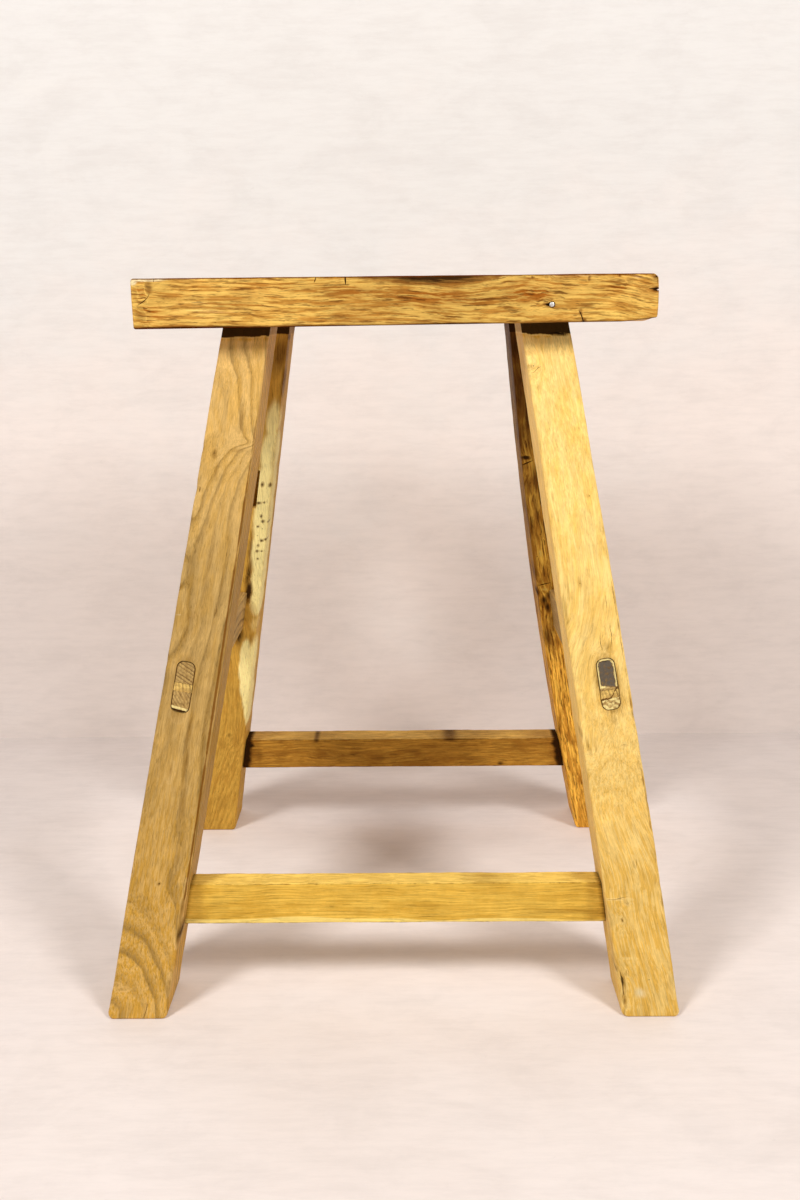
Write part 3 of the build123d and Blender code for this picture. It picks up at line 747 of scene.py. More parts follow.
# Marks on the seat's front edge: x and z, half width and half height, and strength
SEAT_DARK = (
    (-164, 485, 4.0, 2.2, 0.5), (-165, 477, 6, 5, 0.36), (-159, 494, 3, 5, 0.5), (-168, 490, 3, 5, 0.3),
    (28, 500, 36, 5.6, 1.05), (-6, 500.5, 30, 3.4, 0.7), (48, 497.5, 10, 3.6, 0.5), (143, 494.5, 7, 2.6, 0.42),
    (152, 495.5, 5, 1.6, 0.4), (66, 497.8, 1.8, 1.6, 0.6), (89, 498, 1.4, 1.4, 0.55), (98, 498, 1.4, 1.2, 0.5),
    (125.5, 497, 1.3, 2.2, 0.6), (145, 499, 1.2, 1.4, 0.6), (103.5, 480.9, 3.0, 2.6, 0.35),
    (99.0, 480.9, 3.4, 1.2, 0.9), (120.5, 476, 1.6, 3.2, 0.5), (122.8, 470.5, 1.8, 2.0, 0.7),
    # the long flat marks along the bottom edge, at z 468 to 472 here and two lines below, are a dark line with painted
    # shade under the edge
    (-130, 468.4, 60, 1.5, 0.95), (-40, 468.6, 60, 1.3, 0.75), (40, 469.0, 50, 1.5, 0.85), (110, 469.6, 40, 1.2, 0.6),
    (169, 489.8, 3.2, 1.5, 1.0), (168, 497, 3, 2, 0.5), (-106, 500.4, 20, 1.0, 0.5), (150, 500, 12, 1.2, 0.4),
    (-62, 471, 6, 1.0, 0.5), (-18, 471.5, 9, 1.0, 0.5), (22, 472, 8, 1.0, 0.45),
)
SEAT_PALE = (
    (-125, 480, 66, 20, 0.28), (20, 474, 90, 5, 0.22), (-160, 499.2, 16, 1.7, 0.8), (-169, 497.8, 3, 2.6, 0.85),
    (-136, 499.6, 12, 1.1, 0.4), (112, 498.8, 48, 1.5, 0.35), (70, 499, 12, 1.4, 0.35), (156, 497.5, 9, 2.4, 0.35),
    (-164, 491, 3.0, 3.5, 0.3),
)
SEAT_RED = (
    (8, 490, 66, 26, 0.4), (110, 494, 60, 16, 0.34), (-70, 494, 80, 4, 0.5), (60, 495, 60, 4.5, 0.6),
    (20, 487, 34, 5.5, 0.85), (48, 484, 26, 5, 0.7), (88, 488, 22, 6.5, 0.95), (108, 491, 12, 4.5, 0.8),
    (-25, 491, 34, 4.5, 0.7), (-45, 485, 22, 3, 0.55), (-100, 483, 36, 5, 0.5), (-135, 488, 22, 4, 0.45),
    (-160, 478, 12, 7, 0.85), (-163, 492, 8, 5, 0.7), (-163, 484, 7, 18, 0.72), (75, 477, 24, 3, 0.45),
    (10, 475, 24, 2, 0.4), (145, 493, 8, 4.0, 1.0), (-70, 476, 30, 2.4, 0.35), (-120, 473, 30, 2, 0.3),
    (150, 482, 14, 3, 0.35), (60, 494, 16, 4, 0.6),
)


def seat_grain(place):
    x, y, z = place
    across = z - SEAT_MIDDLE
    # the grain tilts into a flame right of the middle, and drops away at both ends
    lift = 4.0 * math.exp(-(((x - 84) / 26) ** 2)) * smooth_step(-12, 14, across)
    lift += 1.6 * math.exp(-(((x - 5) / 30) ** 2)) - 5.0 * smooth_step(136, 178, x) + 3.0 * smooth_step(-146, -178, x)
    sway = 1.3 * drift(x * 0.014, y * 0.02, 2.0) + 0.35 * drift(x * 0.06, y * 0.05, across * 0.06)
    rough = 0.4 + 3.0 * smooth_step(-150, -168, x) + 1.8 * math.exp(-(((x - 92) / 22) ** 2))
    sway += 0.3 * drift(x * 0.2, y * 0.2, across * 0.1) * rough
    rings = math.hypot(across + 46 + sway - lift, (y + 26) * 0.55 + 3 * drift(x * 0.01, 7.7, y * 0.01)) + x * 0.008
    return rings / RING["seat"], y * 0.8 - across * 0.4, x + GRAIN_SPAN / 2


def seat_paint(place):
    x, y, z = place
    front = smooth_step(-98, -104, y)
    back = smooth_step(98, 104, y)
    ends = smooth_step(162, HALF_LENGTH, abs(x))
    top = smooth_step(495, 499.8, z)
    # the front carries the photographed marks, the back the same wear and painted shade turned about
    stain = ellipse(0, SEAT_DARK, x, z) * front + ellipse(0, SEAT_DARK, -x * 0.9, z) * back * 0.8
    pale = max(ellipse(0, SEAT_PALE, x, z) * front, ellipse(0, SEAT_PALE, -x * 0.8, z) * back * 0.6)
    red = max(ellipse(0, SEAT_RED, x, z) * front, ellipse(0, SEAT_RED, -x, z) * back)
    worn = smooth_step(-0.25, 0.9, drift(x * 0.018, y * 0.03, 4.4)) * top
    stain = max(stain, top * (0.1 + 0.22 * worn) * (1 - front) * (1 - back * 0.5))
    if y < -90 and 469.6 < z < 498.4 and abs(x) < 169.5:
        # painted shade in the insides of the cracks and the nail's hole
        stain = max(stain, smooth_step(-104.2, -103.6, y))
    arris = math.exp(-min(abs(z - SEAT_HEIGHT), abs(z - SHOULDER)) / 1.6) * max(front, back, ends)
    return seat_grain(place), (stain if stain > 0.3 * red else -red, pale, arris)


def make_seat(material):
    mesh = gridded_block((230, 140, 20))
    half = (HALF_LENGTH, HALF_DEPTH, SEAT_THICKNESS / 2)
    for vert in mesh.verts:
        share = Vector((gathered(vert.co.x * 2), gathered(vert.co.y * 2), math.sin(vert.co.z * math.pi)))
        point = Vector([s * h for s, h in zip(share, half)])
        x, y, z = point
        high = z / half[2]
        wear = 1.9 + 0.6 * drift(x * 0.03, y * 0.03, 1.0) + 0.4 * drift(x * 0.12, y * 0.12, 3.0)
        radius = blend(1.4, wear, smooth_step(-0.7, 0.9, high))
        radius += 2.0 * smooth_step(160, HALF_LENGTH, x) * smooth_step(0.2, 1, high)
        point = eased(point, half, max(1.0, radius))
        # a little hollow on top, planing waves all round, and the right front corner lifted below
        hollow = 0.55 * (1 - (x / HALF_LENGTH) ** 2) * (1 - (y / HALF_DEPTH) ** 2) * smooth_step(0.4, 1, high)
        wave = 0.22 * (1 + drift(x * 0.02, y * 0.03, 5.0)) + 0.1 * (1 + drift(x * 0.09, y * 0.09, 6.0))
        edge_wave = 0.3 * (1 + drift(x * 0.017, z * 0.05, 8.0 + math.copysign(3, y)))
        end_wave = 0.12 * (1 + drift(y * 0.03, z * 0.06, 11.0 + math.copysign(3, x)))
        end_wave += 0.25 * (high - 0.1) ** 2 if x > 0 else 0.25 * smooth_step(-0.2, 1, -high)
        point.z -= hollow + wave * smooth_step(0.5, 1, high) * (1 - smooth_step(88, 100, abs(y)) * 0.6)
        point.y -= math.copysign(edge_wave, y) * smooth_step(60, HALF_DEPTH, abs(y))
        point.x -= math.copysign(end_wave, x) * smooth_step(140, HALF_LENGTH, abs(x))
        lifted = SEAT_THINNING * (point.x + half[0]) / SEAT_LENGTH * (0.5 - point.z / SEAT_THICKNESS)
        wane = 2.2 * smooth_step(146, 172, x) * smooth_step(-60, -HALF_DEPTH, y) * smooth_step(-0.2, -1, high)
        vert.co = point + Vector((0, 0, SEAT_MIDDLE + lifted + wane))
    cutter = bmesh.new()
    for leg in LEGS.values():
        low, high = leg.middle(SHOULDER - 12), leg.middle(SEAT_HEIGHT)
        join_into(cutter, tapered_bar(low, high, TENON_WIDTH + 0.5, TENON_DEPTH + 0.5, 5))
    for path, half_width, depth in SEAT_CRACKS:
        places = jagged(path, lambda x, z: 0.2 * drift(x, z), lambda x, z: Vector((x, -HALF_DEPTH, z)))
        join_into(cutter, crack(places, half_width, depth))
    # the check in the right end's front corner
    join_into(cutter, crack(SEAT_CHECK, 0.75, 4.0, Vector((-0.5, 1, 0))))
    # the nail's hole, torn open to the left
    nail = Vector((NAIL_X, -HALF_DEPTH, NAIL_Z))
    join_into(cutter, prism([nail + Vector((x, 0, z)) for x, z in TORN_HOLE], BACK, -3, TORN_DEPTH))
    finished("seat_plank", mesh, material, "seat_wood", seat_paint, cutter)


# The marks on the long stretchers' front faces
RAIL_DARK = {
    "front": (
        (-166, 61.5, 8, 2.0, 0.9), (-160, 86, 9, 3, 0.6), (150, 86, 30, 2.5, 0.4), (120, 66, 40, 3, 0.35),
        (60, 88, 25, 1.5, 0.3), (-90, 85, 12, 2, 0.3),
    ),
    "back": (
        (92, 68, 3, 2, 0.7), (45, 92, 8, 1.6, 0.7), (-80, 92, 3, 1.6, 0.7), (-40, 74, 40, 9, 0.25),
        (10, 80, 14, 9, 0.25), (-134, 78, 4, 14, 0.3), (100, 84, 40, 5, 0.2),
    ),
}


def rail_paint(end_name):
    """the function that gives a long stretcher's grain and tone at each place"""
    middle_z, height, thickness, _, _ = RAILS[end_name]
    half_y, half_z = thickness / 2, height / 2
    left, right = LEGS[end_name + "_left"], LEGS[end_name + "_right"]
    middle_y = left.middle_y(middle_z)
    seed = 3.0 if end_name == "front" else 8.0

    def paint(place):
        x, y, z = place
        across, deep = z - middle_z, y - middle_y
        sway = 2.2 * drift(x * 0.012, seed, across * 0.03) + 0.7 * drift(x * 0.05, across * 0.08, seed)
        rings = math.hypot(across + 22 + sway, deep * 0.8 + 16) + x * (0.006 if end_name == "front" else -0.01)
        grain = (rings / RING[end_name], deep, x)
        ends = min(x - left.middle_x(z) - left.width(z) / 2, right.middle_x(z) - right.width(z) / 2 - x)
        arris = math.exp(-(max(half_z - abs(across), 0) + max(half_y - abs(deep), 0)) / 1.4)
        if end_name == "front":
            pale = smooth_step(-10.6, -12.4, across + 1.3 * drift(x * 0.02, 1.0) + 1.2 * smooth_step(-60, 30, x))
            pale *= 1 - 0.5 * smooth_step(0, 150, x)
            # the top face painted paler: a painted sheen
            pale = max(pale, 0.4 * smooth_step(half_z - 1.2, half_z - 0.3, across))
            stain = 0.55 * smooth_step(5, -1, ends) + 0.35 * smooth_step(9, 13, across) * smooth_step(120, 180, abs(x))
        else:
            # the top face painted paler: a painted sheen
            pale = 0.4 * smooth_step(half_z - 1.2, half_z - 0.3, across)
            stain = 0.85 * smooth_step(9, 3, ends + 1.5 * drift(z * 0.2, 5.0))
        stain = ellipse(stain, RAIL_DARK[end_name], x, z) * (1 - 0.8 * smooth_step(-4, -12, ends))
        return grain, (min(stain, 1.0), pale, arris)

    return paint


class Rows:
    """the rows of a grid along a bar with a tenon at each end"""

    def __init__(self, body, tenon):
        self.body, self.tenon, self.count = body, tenon, body + 2 * tenon + 2

    def at(self, place):
        """the row at a place from -0.5 to 0.5, whether it is in the body, and its share of the body"""
        row = round((place + 0.5) * self.count)
        return row, self.tenon < row < self.count - self.tenon, (row - self.tenon - 1) / self.body

    def place(self, row, outer_low, inner_low, inner_high, outer_high):
        """a row's place along the bar, from where both its tenons start and end"""
        if row <= self.tenon:
            return blend(outer_low, inner_low, row / self.tenon)
        if row < self.count - self.tenon:
            return blend(inner_low, inner_high, (row - self.tenon - 1) / self.body)
        return blend(inner_high, outer_high, (row - (self.count - self.tenon)) / self.tenon)


def worn_arris(share, u, w, seed, least, mean, sway, slow, fast):
    """the radius of one of a bar's four arrises at a share of its length"""
    corner = 7 * math.copysign(1, u) + 3 * math.copysign(1, w) + seed
    return max(least, mean + sway * drift(share * slow, corner) + 0.3 * drift(share * fast, corner))


def rail_wedge_place(leg):
    """the mouth, the way out, the way across and the width of a long stretcher's wedge in a leg"""
    middle_z, _, _, _, tenon_thickness = RAILS[leg.name.split("_")[0]]
    mouth = Vector((leg.middle_x(middle_z) + leg.side * leg.width(middle_z) / 2, leg.middle_y(middle_z), middle_z))
    return mouth, Vector((leg.side, 0, 0)), BACK, tenon_thickness


def make_rail(end_name, material):
    middle_z, height, thickness, tenon_height, tenon_thickness = RAILS[end_name]
    left, right = LEGS[end_name + "_left"], LEGS[end_name + "_right"]
    rows = Rows(260, 24)
    mesh = gridded_block((rows.count - 1, 12, 16))
    seed = 51.0 if end_name == "front" else 63.0
    for vert in mesh.verts:
        row, in_body, share = rows.at(vert.co.x)
        v, w = math.sin(vert.co.y * math.pi), math.sin(vert.co.z * math.pi)
        half_y, half_z = (thickness / 2, height / 2) if in_body else (tenon_thickness / 2, tenon_height / 2)
        if in_body:
            radius = worn_arris(share, v, w, seed, 0.5, 0.9, 0.5, 7, 40)
            local = Vector((0, *rounded_section(v, w, half_y, half_z, min(radius, 4))))
            local.y -= math.copysign(0.2 * (1 + drift(share * 5, w, seed)), v) * min(1, abs(local.y) / 4)
            local.z -= math.copysign(0.16 * (1 + drift(share * 4, v, seed + 4)), w) * min(1, abs(local.z) / 6)
        else:
            local = Vector((0, *rounded_section(v, w, half_y, half_z, 0.5)))
        z = middle_z + local.z
        # the body is let a little into the legs, and the tenons end a little inside their outer faces
        x = rows.place(
            row,
            left.middle_x(z) - left.width(z) / 2 + 0.5, left.middle_x(z) + left.width(z) / 2 - 0.25,
            right.middle_x(z) - right.width(z) / 2 + 0.25, right.middle_x(z) + right.width(z) / 2 - 0.5,
        )
        vert.co = Vector((x, left.middle_y(middle_z) + local.y, z))
    cutter = bmesh.new()
    for leg in (left, right):
        *place, width = rail_wedge_place(leg)
        join_into(cutter, wedge_shape(*place, width + 3, RAIL_WEDGE_MOUTH, WEDGE_ROOM, 4.0))
    finished(end_name + "_stretcher", mesh, material, end_name + "_stretcher_wood", rail_paint(end_name), cutter)


def torn_line(a):
    """the height of the jagged split in the right tenon's end, at a place across it"""
    return -9.8 + 6.5 * smooth_step(-0.5, 5.5, a) + 0.5 * drift(a * 1.3, 2.0)


def side_paint(side):
    """the function that gives a side stretcher's grain and tone at each place"""
    middle, up, across = side_frame(side)
    seed = 5.0 if side == "left" else 9.0

    def paint(place):
        off = place - middle
        a, h, y = off.dot(across), off.dot(up), place.y
        sway = 1.6 * drift(y * 0.012, seed, h * 0.04)
        rings = math.hypot(a * 0.9 + 14 + sway, h * 0.7 + (-26 if side == "left" else 20)) + 0.35 * h
        front = LEGS["front_" + side].outer_y(place.z)
        end = smooth_step(9, 1, min(abs(y - front), abs(y + front)))
        rim_x, rim_z = SIDE_TENON_WIDTH / 2 - abs(a), SIDE_HEIGHT / 2 - abs(h)
        edge = SIDE_TENON_ROUND - math.hypot(max(SIDE_TENON_ROUND - rim_x, 0), max(SIDE_TENON_ROUND - rim_z, 0))
        outline = end * smooth_step(0.6, 0.15, edge)
        if side == "left":
            # split end grain over and under the wedge, a bright shim at the bottom, and painted shadow under the shim
            rings = blend(rings, (h + a * 0.45) * 0.62 if h > 3 else (h + a * 1.15) * 0.5, end)
            low = h + 14.6 + a * 0.09
            stain = end * (0.1 + 0.25 * drift(a * 0.5, h * 0.4))
            # the dark line under the shim is painted shadow
            outline = max(outline, end * smooth_step(-0.7, -1.2, low))
            pale = end * math.exp(-((low / 0.8) ** 2)) * 1.3
        else:
            # a hollow dark core in a pale rim, a plug under the wedge, and painted shade in the split above the plug
            core = smooth_step(0.9, 1.7, edge + 0.6 * drift(a * 0.4, h * 0.25)) * smooth_step(-2.5, -1.0, h + 0.2 * a)
            below = h - torn_line(a)
            rings = blend(rings, (h - a * 0.7) * 0.5, end)
            stain = end * core * (0.74 + 0.3 * drift(a * 0.6, h * 0.5, 3.0))
            plug = (0.4 + 0.5 * drift(a * 0.45, h * 0.45)) * smooth_step(0, -1, below)
            pale = end * max((1 - core) * smooth_step(-3, -1, h) * 1.2, plug)
            # the dark line along the split is painted shade
            outline = max(outline, end * smooth_step(0.8, 0.35, abs(below)))
        return (rings / RING["side"], a * 1.5, y), (stain, pale, max(0.4 * math.exp(-max(rim_z, 0) / 1.5), outline))

    return paint


def make_side_stretcher(side, material):
    front, back = LEGS["front_" + side], LEGS["back_" + side]
    middle, up, across = side_frame(side)
    rows = Rows(70, 14)
    mesh = gridded_block((22, rows.count - 1, 60))
    seed = 71.0 if side == "left" else 83.0
    for vert in mesh.verts:
        row, in_body, share = rows.at(vert.co.y)
        u, w = math.sin(vert.co.x * math.pi), math.sin(vert.co.z * math.pi)
        offset = 0.0
        if in_body:
            radius = worn_arris(share, u, w, seed, 0.6, 1.3, 0.6, 4, 18)
            half_x, half_z = SIDE_THICKNESS / 2, SIDE_HEIGHT / 2
            offset = -front.side * SIDE_TENON_OFFSET
        else:
            half_x, half_z, radius = SIDE_TENON_WIDTH / 2, SIDE_HEIGHT / 2 - 0.4, SIDE_TENON_ROUND
        section_x, section_z = rounded_section(u, w, half_x, half_z, radius)
        local = Vector((section_x, 0, section_z))
        if in_body:
            local.x -= math.copysign(0.25 * (1 + drift(share * 3, w, seed)), u) * min(1, abs(local.x) / 4)
        place = middle + across * (local.x + offset) + up * local.z
        z = place.z
        # the ends stand a hair inside the legs' faces
        sunk = 0.35 + 0.2 * drift(u * 2.8, w * 4.1, seed) + 0.15 * drift(u * 7, w * 12, seed)
        edge = min(half_x - abs(local.x), half_z - abs(local.z))
        if side == "right":
            sunk += 0.8 * smooth_step(1.0, 1.7, edge) * smooth_step(-2.5, -1.0, local.z)
        else:
            shim = math.exp(-(((local.z + 14.6) / 0.8) ** 2))
            sunk += 1.6 * smooth_step(-15.4, -16.0, local.z + 0.09 * local.x) - 0.35 * shim
        y = rows.place(
            row, front.outer_y(z) + sunk, front.inner_y(z) - 0.2, back.inner_y(z) + 0.2, back.outer_y(z) - sunk,
        )
        vert.co = Vector((place.x, y, z))
    cutter = bmesh.new()
    for leg in (front, back):
        *place, width = side_wedge_place(leg)
        join_into(cutter, wedge_shape(*place, width + 3, SIDE_WEDGE_MOUTH, WEDGE_ROOM, 4.0))
    finished(side + "_side_stretcher", mesh, material, "side_stretcher_wood", side_paint(side), cutter)


def side_wedge_place(leg):
    """the mouth, the way out, the way across and the width of a side stretcher's wedge in a leg"""
    middle, up, across = side_frame(leg.name.split("_")[1])
    middle -= up * (FRONT_RIGHT_WEDGE_DROP if leg.name == "front_right" else 0.0)
    return Vector((middle.x, leg.outer_y(middle.z), middle.z)), BACK * leg.end, across, SIDE_TENON_WIDTH


def make_wedge(node, material, mouth, outward, across, width, thickness, face):
    """a split wedge whose mouth is cut to the slope of the face that it stands in"""
    mesh = wedge_shape(mouth, outward, across, width - 0.2, thickness)
    thin_way = outward.cross(across)
    sharp = [e for e in mesh.edges if e.calc_face_angle(0) > 1]
    bmesh.ops.bevel(mesh, geom=sharp, affect="EDGES", offset=0.25, segments=2, profile=0.5, material=-1)
    for vert in mesh.verts:
        off = vert.co - mouth
        depth = -off.dot(outward)
        vert.co += outward * (face(vert.co) * smooth_step(WEDGE_LENGTH, 2, depth))

    def paint(place):
        off = place - mouth
        aside, thin, out = off.dot(across), off.dot(thin_way), off.dot(outward)
        mouth_share = smooth_step(3, 0, abs(out))
        split = 0.2
        # painted shade along the split that runs over the front right side wedge's mouth
        if node.startswith("front_right_side"):
            torn = smooth_step(0.8, 0.4, abs(thin - FRONT_RIGHT_WEDGE_DROP - torn_line(aside)))
            split = max(split, mouth_share * torn)
        return (aside * 0.4 + thin * 0.1, thin, out), (0.1 * mouth_share, 0.12, split)

    finished(node, mesh, material, "wedge_wood", paint)


class Finish:
    """a material's node tree, written one node at a time"""

    def __init__(self, name):
        self.material = bpy.data.materials.new(name)
        self.material.use_nodes = True
        self.nodes = self.material.node_tree.nodes
        self.links = self.material.node_tree.links
        self.shader = self.nodes["Principled BSDF"]

    def put(self, socket, value):
        if isinstance(value, bpy.types.NodeSocket):
            self.links.new(value, socket)
        else:
            socket.default_value = value

    def add(self, kind, sockets=None, **settings):
        node = self.nodes.new("ShaderNode" + kind)
        for key, value in settings.items():
            setattr(node, key, value)
        for key, value in (sockets or {}).items():
            self.put(node.inputs[key], value)
        return node

    def math(self, operation, *values):
        node = self.add("Math", dict(enumerate(values)), operation=operation)
        return node.outputs[0]

    def mix(self, share, first, second, mode="MIX"):
        node = self.add("Mix", {0: share, 6: first, 7: second}, data_type="RGBA", blend_type=mode)
        return node.outputs[2]

    def noise(self, vector, scale, detail, roughness, distortion=0.0):
        sockets = {"Vector": vector, "Scale": scale, "Detail": detail, "Roughness": roughness, "Distortion": distortion}
        return self.add("TexNoise", sockets).outputs[0]

    def stretched(self, vector, scale):
        return self.add("Mapping", {"Vector": vector, "Scale": scale}).outputs[0]

    def ramp(self, value, *stops):
        node = self.add("ValToRGB", {0: value})
        elements = node.color_ramp.elements
        while len(elements) < len(stops):
            elements.new(0.5)
        for element, (place, level) in zip(elements, stops):
            element.position = place
            element.color = (level, level, level, 1)
        return node.outputs[0]

    def rise(self, value, low, high, to_low=0.0, to_high=1.0):
        sockets = {0: value, 1: low, 2: high, 3: to_low, 4: to_high}
        return self.add("MapRange", sockets, interpolation_type="SMOOTHSTEP").outputs[0]


def colour(*rgb):
    return (*rgb, 1.0)


def elm(
    name, light, brown, deep, ring, bands, fleck, pores, broad,
    pale=(0.9, 0.74, 0.42), dark=(0.026, 0.011, 0.004), heights=None, length=1.0, fine=1.0, darker=0.75,
):
    """oiled old elm: light between the rings, brown in them, deep in the reddish patches, pale in the sapwood and in
    the painted sheen on the stretchers' tops, and dark in the stains and the painted shade. bands, fleck, pores and
    broad are the strengths of the rings, the late wood's flecks, the pores and the reddish patches; heights brightens
    along the grain; length draws the streaks out and fine narrows them; darker is the strength of the dark flecks"""
    f = Finish(name)
    grain = f.add("Attribute", attribute_name="grain").outputs["Vector"]
    tone = f.add("SeparateXYZ", {0: f.add("Attribute", attribute_name="tone").outputs["Vector"]})
    place = f.add("TexCoord").outputs["Object"]
    rings, aside, along = f.add("SeparateXYZ", {0: grain}).outputs

    def streaks(across, sides, lengthways, **noise):
        """noise drawn out along the grain, by cycles per millimetre each way"""
        space = {0: times(rings, across * ring * fine), 1: times(aside, sides), 2: times(along, lengthways / length)}
        return f.noise(f.add("CombineXYZ", space).outputs[0], 1.0, **noise)

    def times(value, share):
        return f.math("MULTIPLY", value, share)

    # the rings, each with a sharp brown start and a slow fade, and not all alike
    wobble = streaks(0.14, 0.1, 0.02, detail=4.0, roughness=0.6)
    ring_now = f.math("ADD", rings, times(wobble, min(1.5 / ring, 0.4 * ring**0.5)))
    ring_fade = ((0.0, 0.6), (0.06, 1.0), (0.2, 0.7), (0.42, 0.18), (0.75, 0.0), (0.92, 0.2), (1.0, 0.6))
    band = f.ramp(f.math("FRACT", ring_now), *ring_fade)
    strength = f.add("TexWhiteNoise", {"W": f.math("FLOOR", ring_now)}, noise_dimensions="1D").outputs[0]
    band = times(band, f.rise(strength, 0.0, 1.0, 0.4, 1.0))
    # streaks along the grain: the flecks of late wood, darker ones among them, the open pores, and fine fibres
    flecks = f.rise(streaks(0.62, 0.4, 0.06, detail=4.0, roughness=0.62), 0.44, 0.58)
    dark_flecks = f.rise(streaks(0.85, 0.6, 0.09, detail=3.0, roughness=0.6), 0.56, 0.64)
    pore = f.rise(streaks(1.3, 0.9, 0.17, detail=3.0, roughness=0.6), 0.57, 0.66)
    pore = times(pore, f.math("ADD", times(band, 0.7), 0.4))
    fibre = streaks(1.5, 1.0, 0.045, detail=5.0, roughness=0.75)
    # broad drifts of colour in the wood
    patch = f.rise(streaks(0.11, 0.08, 0.03 * length, detail=5.0, roughness=0.68), 0.44, 0.62)
    mottle = f.noise(f.stretched(place, (60.0, 60.0, 60.0)), 1.0, 5.0, 0.7)
    surface = f.mix(times(band, bands), colour(*light), colour(*brown))
    surface = f.mix(times(flecks, fleck), surface, colour(*brown))
    red = f.rise(tone.outputs[0], 0.0, -0.9)
    reddened = times(red, f.rise(flecks, 0.0, 1.0, 0.35, 1.0))
    surface = f.mix(f.math("MAXIMUM", times(patch, broad), reddened), surface, colour(*deep))
    surface = f.mix(times(times(band, bands), times(red, 0.6)), surface, colour(*[c * 0.6 for c in brown]))
    darkened = times(dark_flecks, f.math("ADD", times(red, 0.5 * darker), fleck * darker))
    surface = f.mix(darkened, surface, colour(*[c * 0.32 for c in deep]))
    pale_and_sheen = f.math("ADD", tone.outputs[1], times(f.math("SUBTRACT", fibre, 0.5), 0.5))
    surface = f.mix(f.rise(pale_and_sheen, 0.25, 0.6, 0.0, 0.94), surface, colour(*pale))
    surface = f.mix(times(pore, pores), surface, colour(*[c * 0.3 for c in deep]))
    light_share = times(f.rise(fibre, 0.3, 0.7, 0.8, 1.16), f.rise(mottle, 0.32, 0.68, 0.92, 1.07))
    if heights:
        light_share = times(light_share, f.ramp(f.math("DIVIDE", along, GRAIN_SPAN), *heights))
    light_colour = f.add("CombineXYZ", {0: light_share, 1: light_share, 2: light_share}).outputs[0]
    surface = f.mix(1.0, surface, light_colour, "MULTIPLY")
    # old dirt and painted shade: a brown halo, the dark stain in it, and a line along the arrises
    broken = f.math("SUBTRACT", streaks(0.9, 0.6, 0.1, detail=5.0, roughness=0.75), 0.5)
    halo = f.rise(f.math("ADD", tone.outputs[0], times(broken, 0.6)), 0.08, 0.48)
    surface = f.mix(times(halo, 0.66), surface, colour(deep[0] * 0.42, deep[1] * 0.38, deep[2] * 0.36))
    stain = f.rise(f.math("ADD", tone.outputs[0], times(broken, 1.0)), 0.34, 0.8)
    surface = f.mix(times(stain, 0.95), surface, colour(*dark))
    chipped = f.noise(f.stretched(place, (140.0, 140.0, 90.0)), 1.0, 4.0, 0.7)
    arris_dirt_and_shade = f.rise(f.math("ADD", tone.outputs[2], times(f.math("SUBTRACT", chipped, 0.5), 0.6)), 0.4, 0.7)
    surface = f.mix(times(arris_dirt_and_shade, 0.85), surface, colour(deep[0] * 0.3, deep[1] * 0.2, deep[2] * 0.15))
    f.put(f.shader.inputs["Base Color"], surface)
    rough = f.rise(f.math("ADD", times(pore, 0.5), mottle), 0.3, 1.2, 0.48, 0.74)
    f.put(f.shader.inputs["Roughness"], rough)
    f.put(f.shader.inputs["Specular IOR Level"], f.rise(f.math("MAXIMUM", stain, arris_dirt_and_shade), 0.0, 1.0, 0.06, 0.0))
    height = f.math("SUBTRACT", times(fibre, 0.5), f.math("ADD", pore, times(band, 0.25)))
    bump = f.add("Bump", {"Height": height, "Strength": 0.6, "Distance": 0.00035})
    f.put(f.shader.inputs["Normal"], bump.outputs[0])
    return f.material


def bright_steel(name):
    f = Finish(name)
    place = f.add("TexCoord").outputs["Object"]
    scuff = f.noise(f.stretched(place, (900.0, 900.0, 900.0)), 1.0, 3.0, 0.6)
    tint = f.mix(f.rise(scuff, 0.35, 0.7), colour(0.95, 0.95, 0.93), colour(0.6, 0.58, 0.55))
    f.put(f.shader.inputs["Base Color"], tint)
    f.shader.inputs["Metallic"].default_value = 1.0
    f.put(f.shader.inputs["Roughness"], f.rise(scuff, 0.3, 0.7, 0.4, 0.6))
    bump = f.add("Bump", {"Height": scuff, "Strength": 0.6, "Distance": 0.0002})
    f.put(f.shader.inputs["Normal"], bump.outputs[0])
    return f.material


def make_nail(material):
    """a round nail with a domed, hammered head"""
    mesh = bmesh.new()
    # radius and depth, from the middle of the head to the point
    profile = (
        (0.0, -0.35), (0.7, -0.3), (1.3, -0.1), (1.7, 0.3), (1.75, 1.0), (1.2, 1.3), (1.2, 40.0), (0.15, 46.0),
        (0.0, 46.0),
    )
    verts = [mesh.verts.new((r, y, 0)) for r, y in profile]
    edges = [mesh.edges.new(pair) for pair in zip(verts, verts[1:])]
    bmesh.ops.spin(mesh, geom=verts + edges, axis=BACK, cent=(0, 0, 0), steps=24, angle=2 * math.pi, use_merge=True)
    bmesh.ops.remove_doubles(mesh, verts=mesh.verts, dist=0.001)
    for vert in mesh.verts:
        if vert.co.y < 1.2:
            vert.co.y += 0.16 * (1 + drift(vert.co.x * 0.9, vert.co.z * 0.9, 2.2))
    bmesh.ops.translate(mesh, vec=(NAIL_X, -HALF_DEPTH + 0.35, NAIL_Z), verts=mesh.verts)
    finished("seat_nail", mesh, material, "nail_steel", lambda place: ((0, 0, 0), (0, 0, 0)))


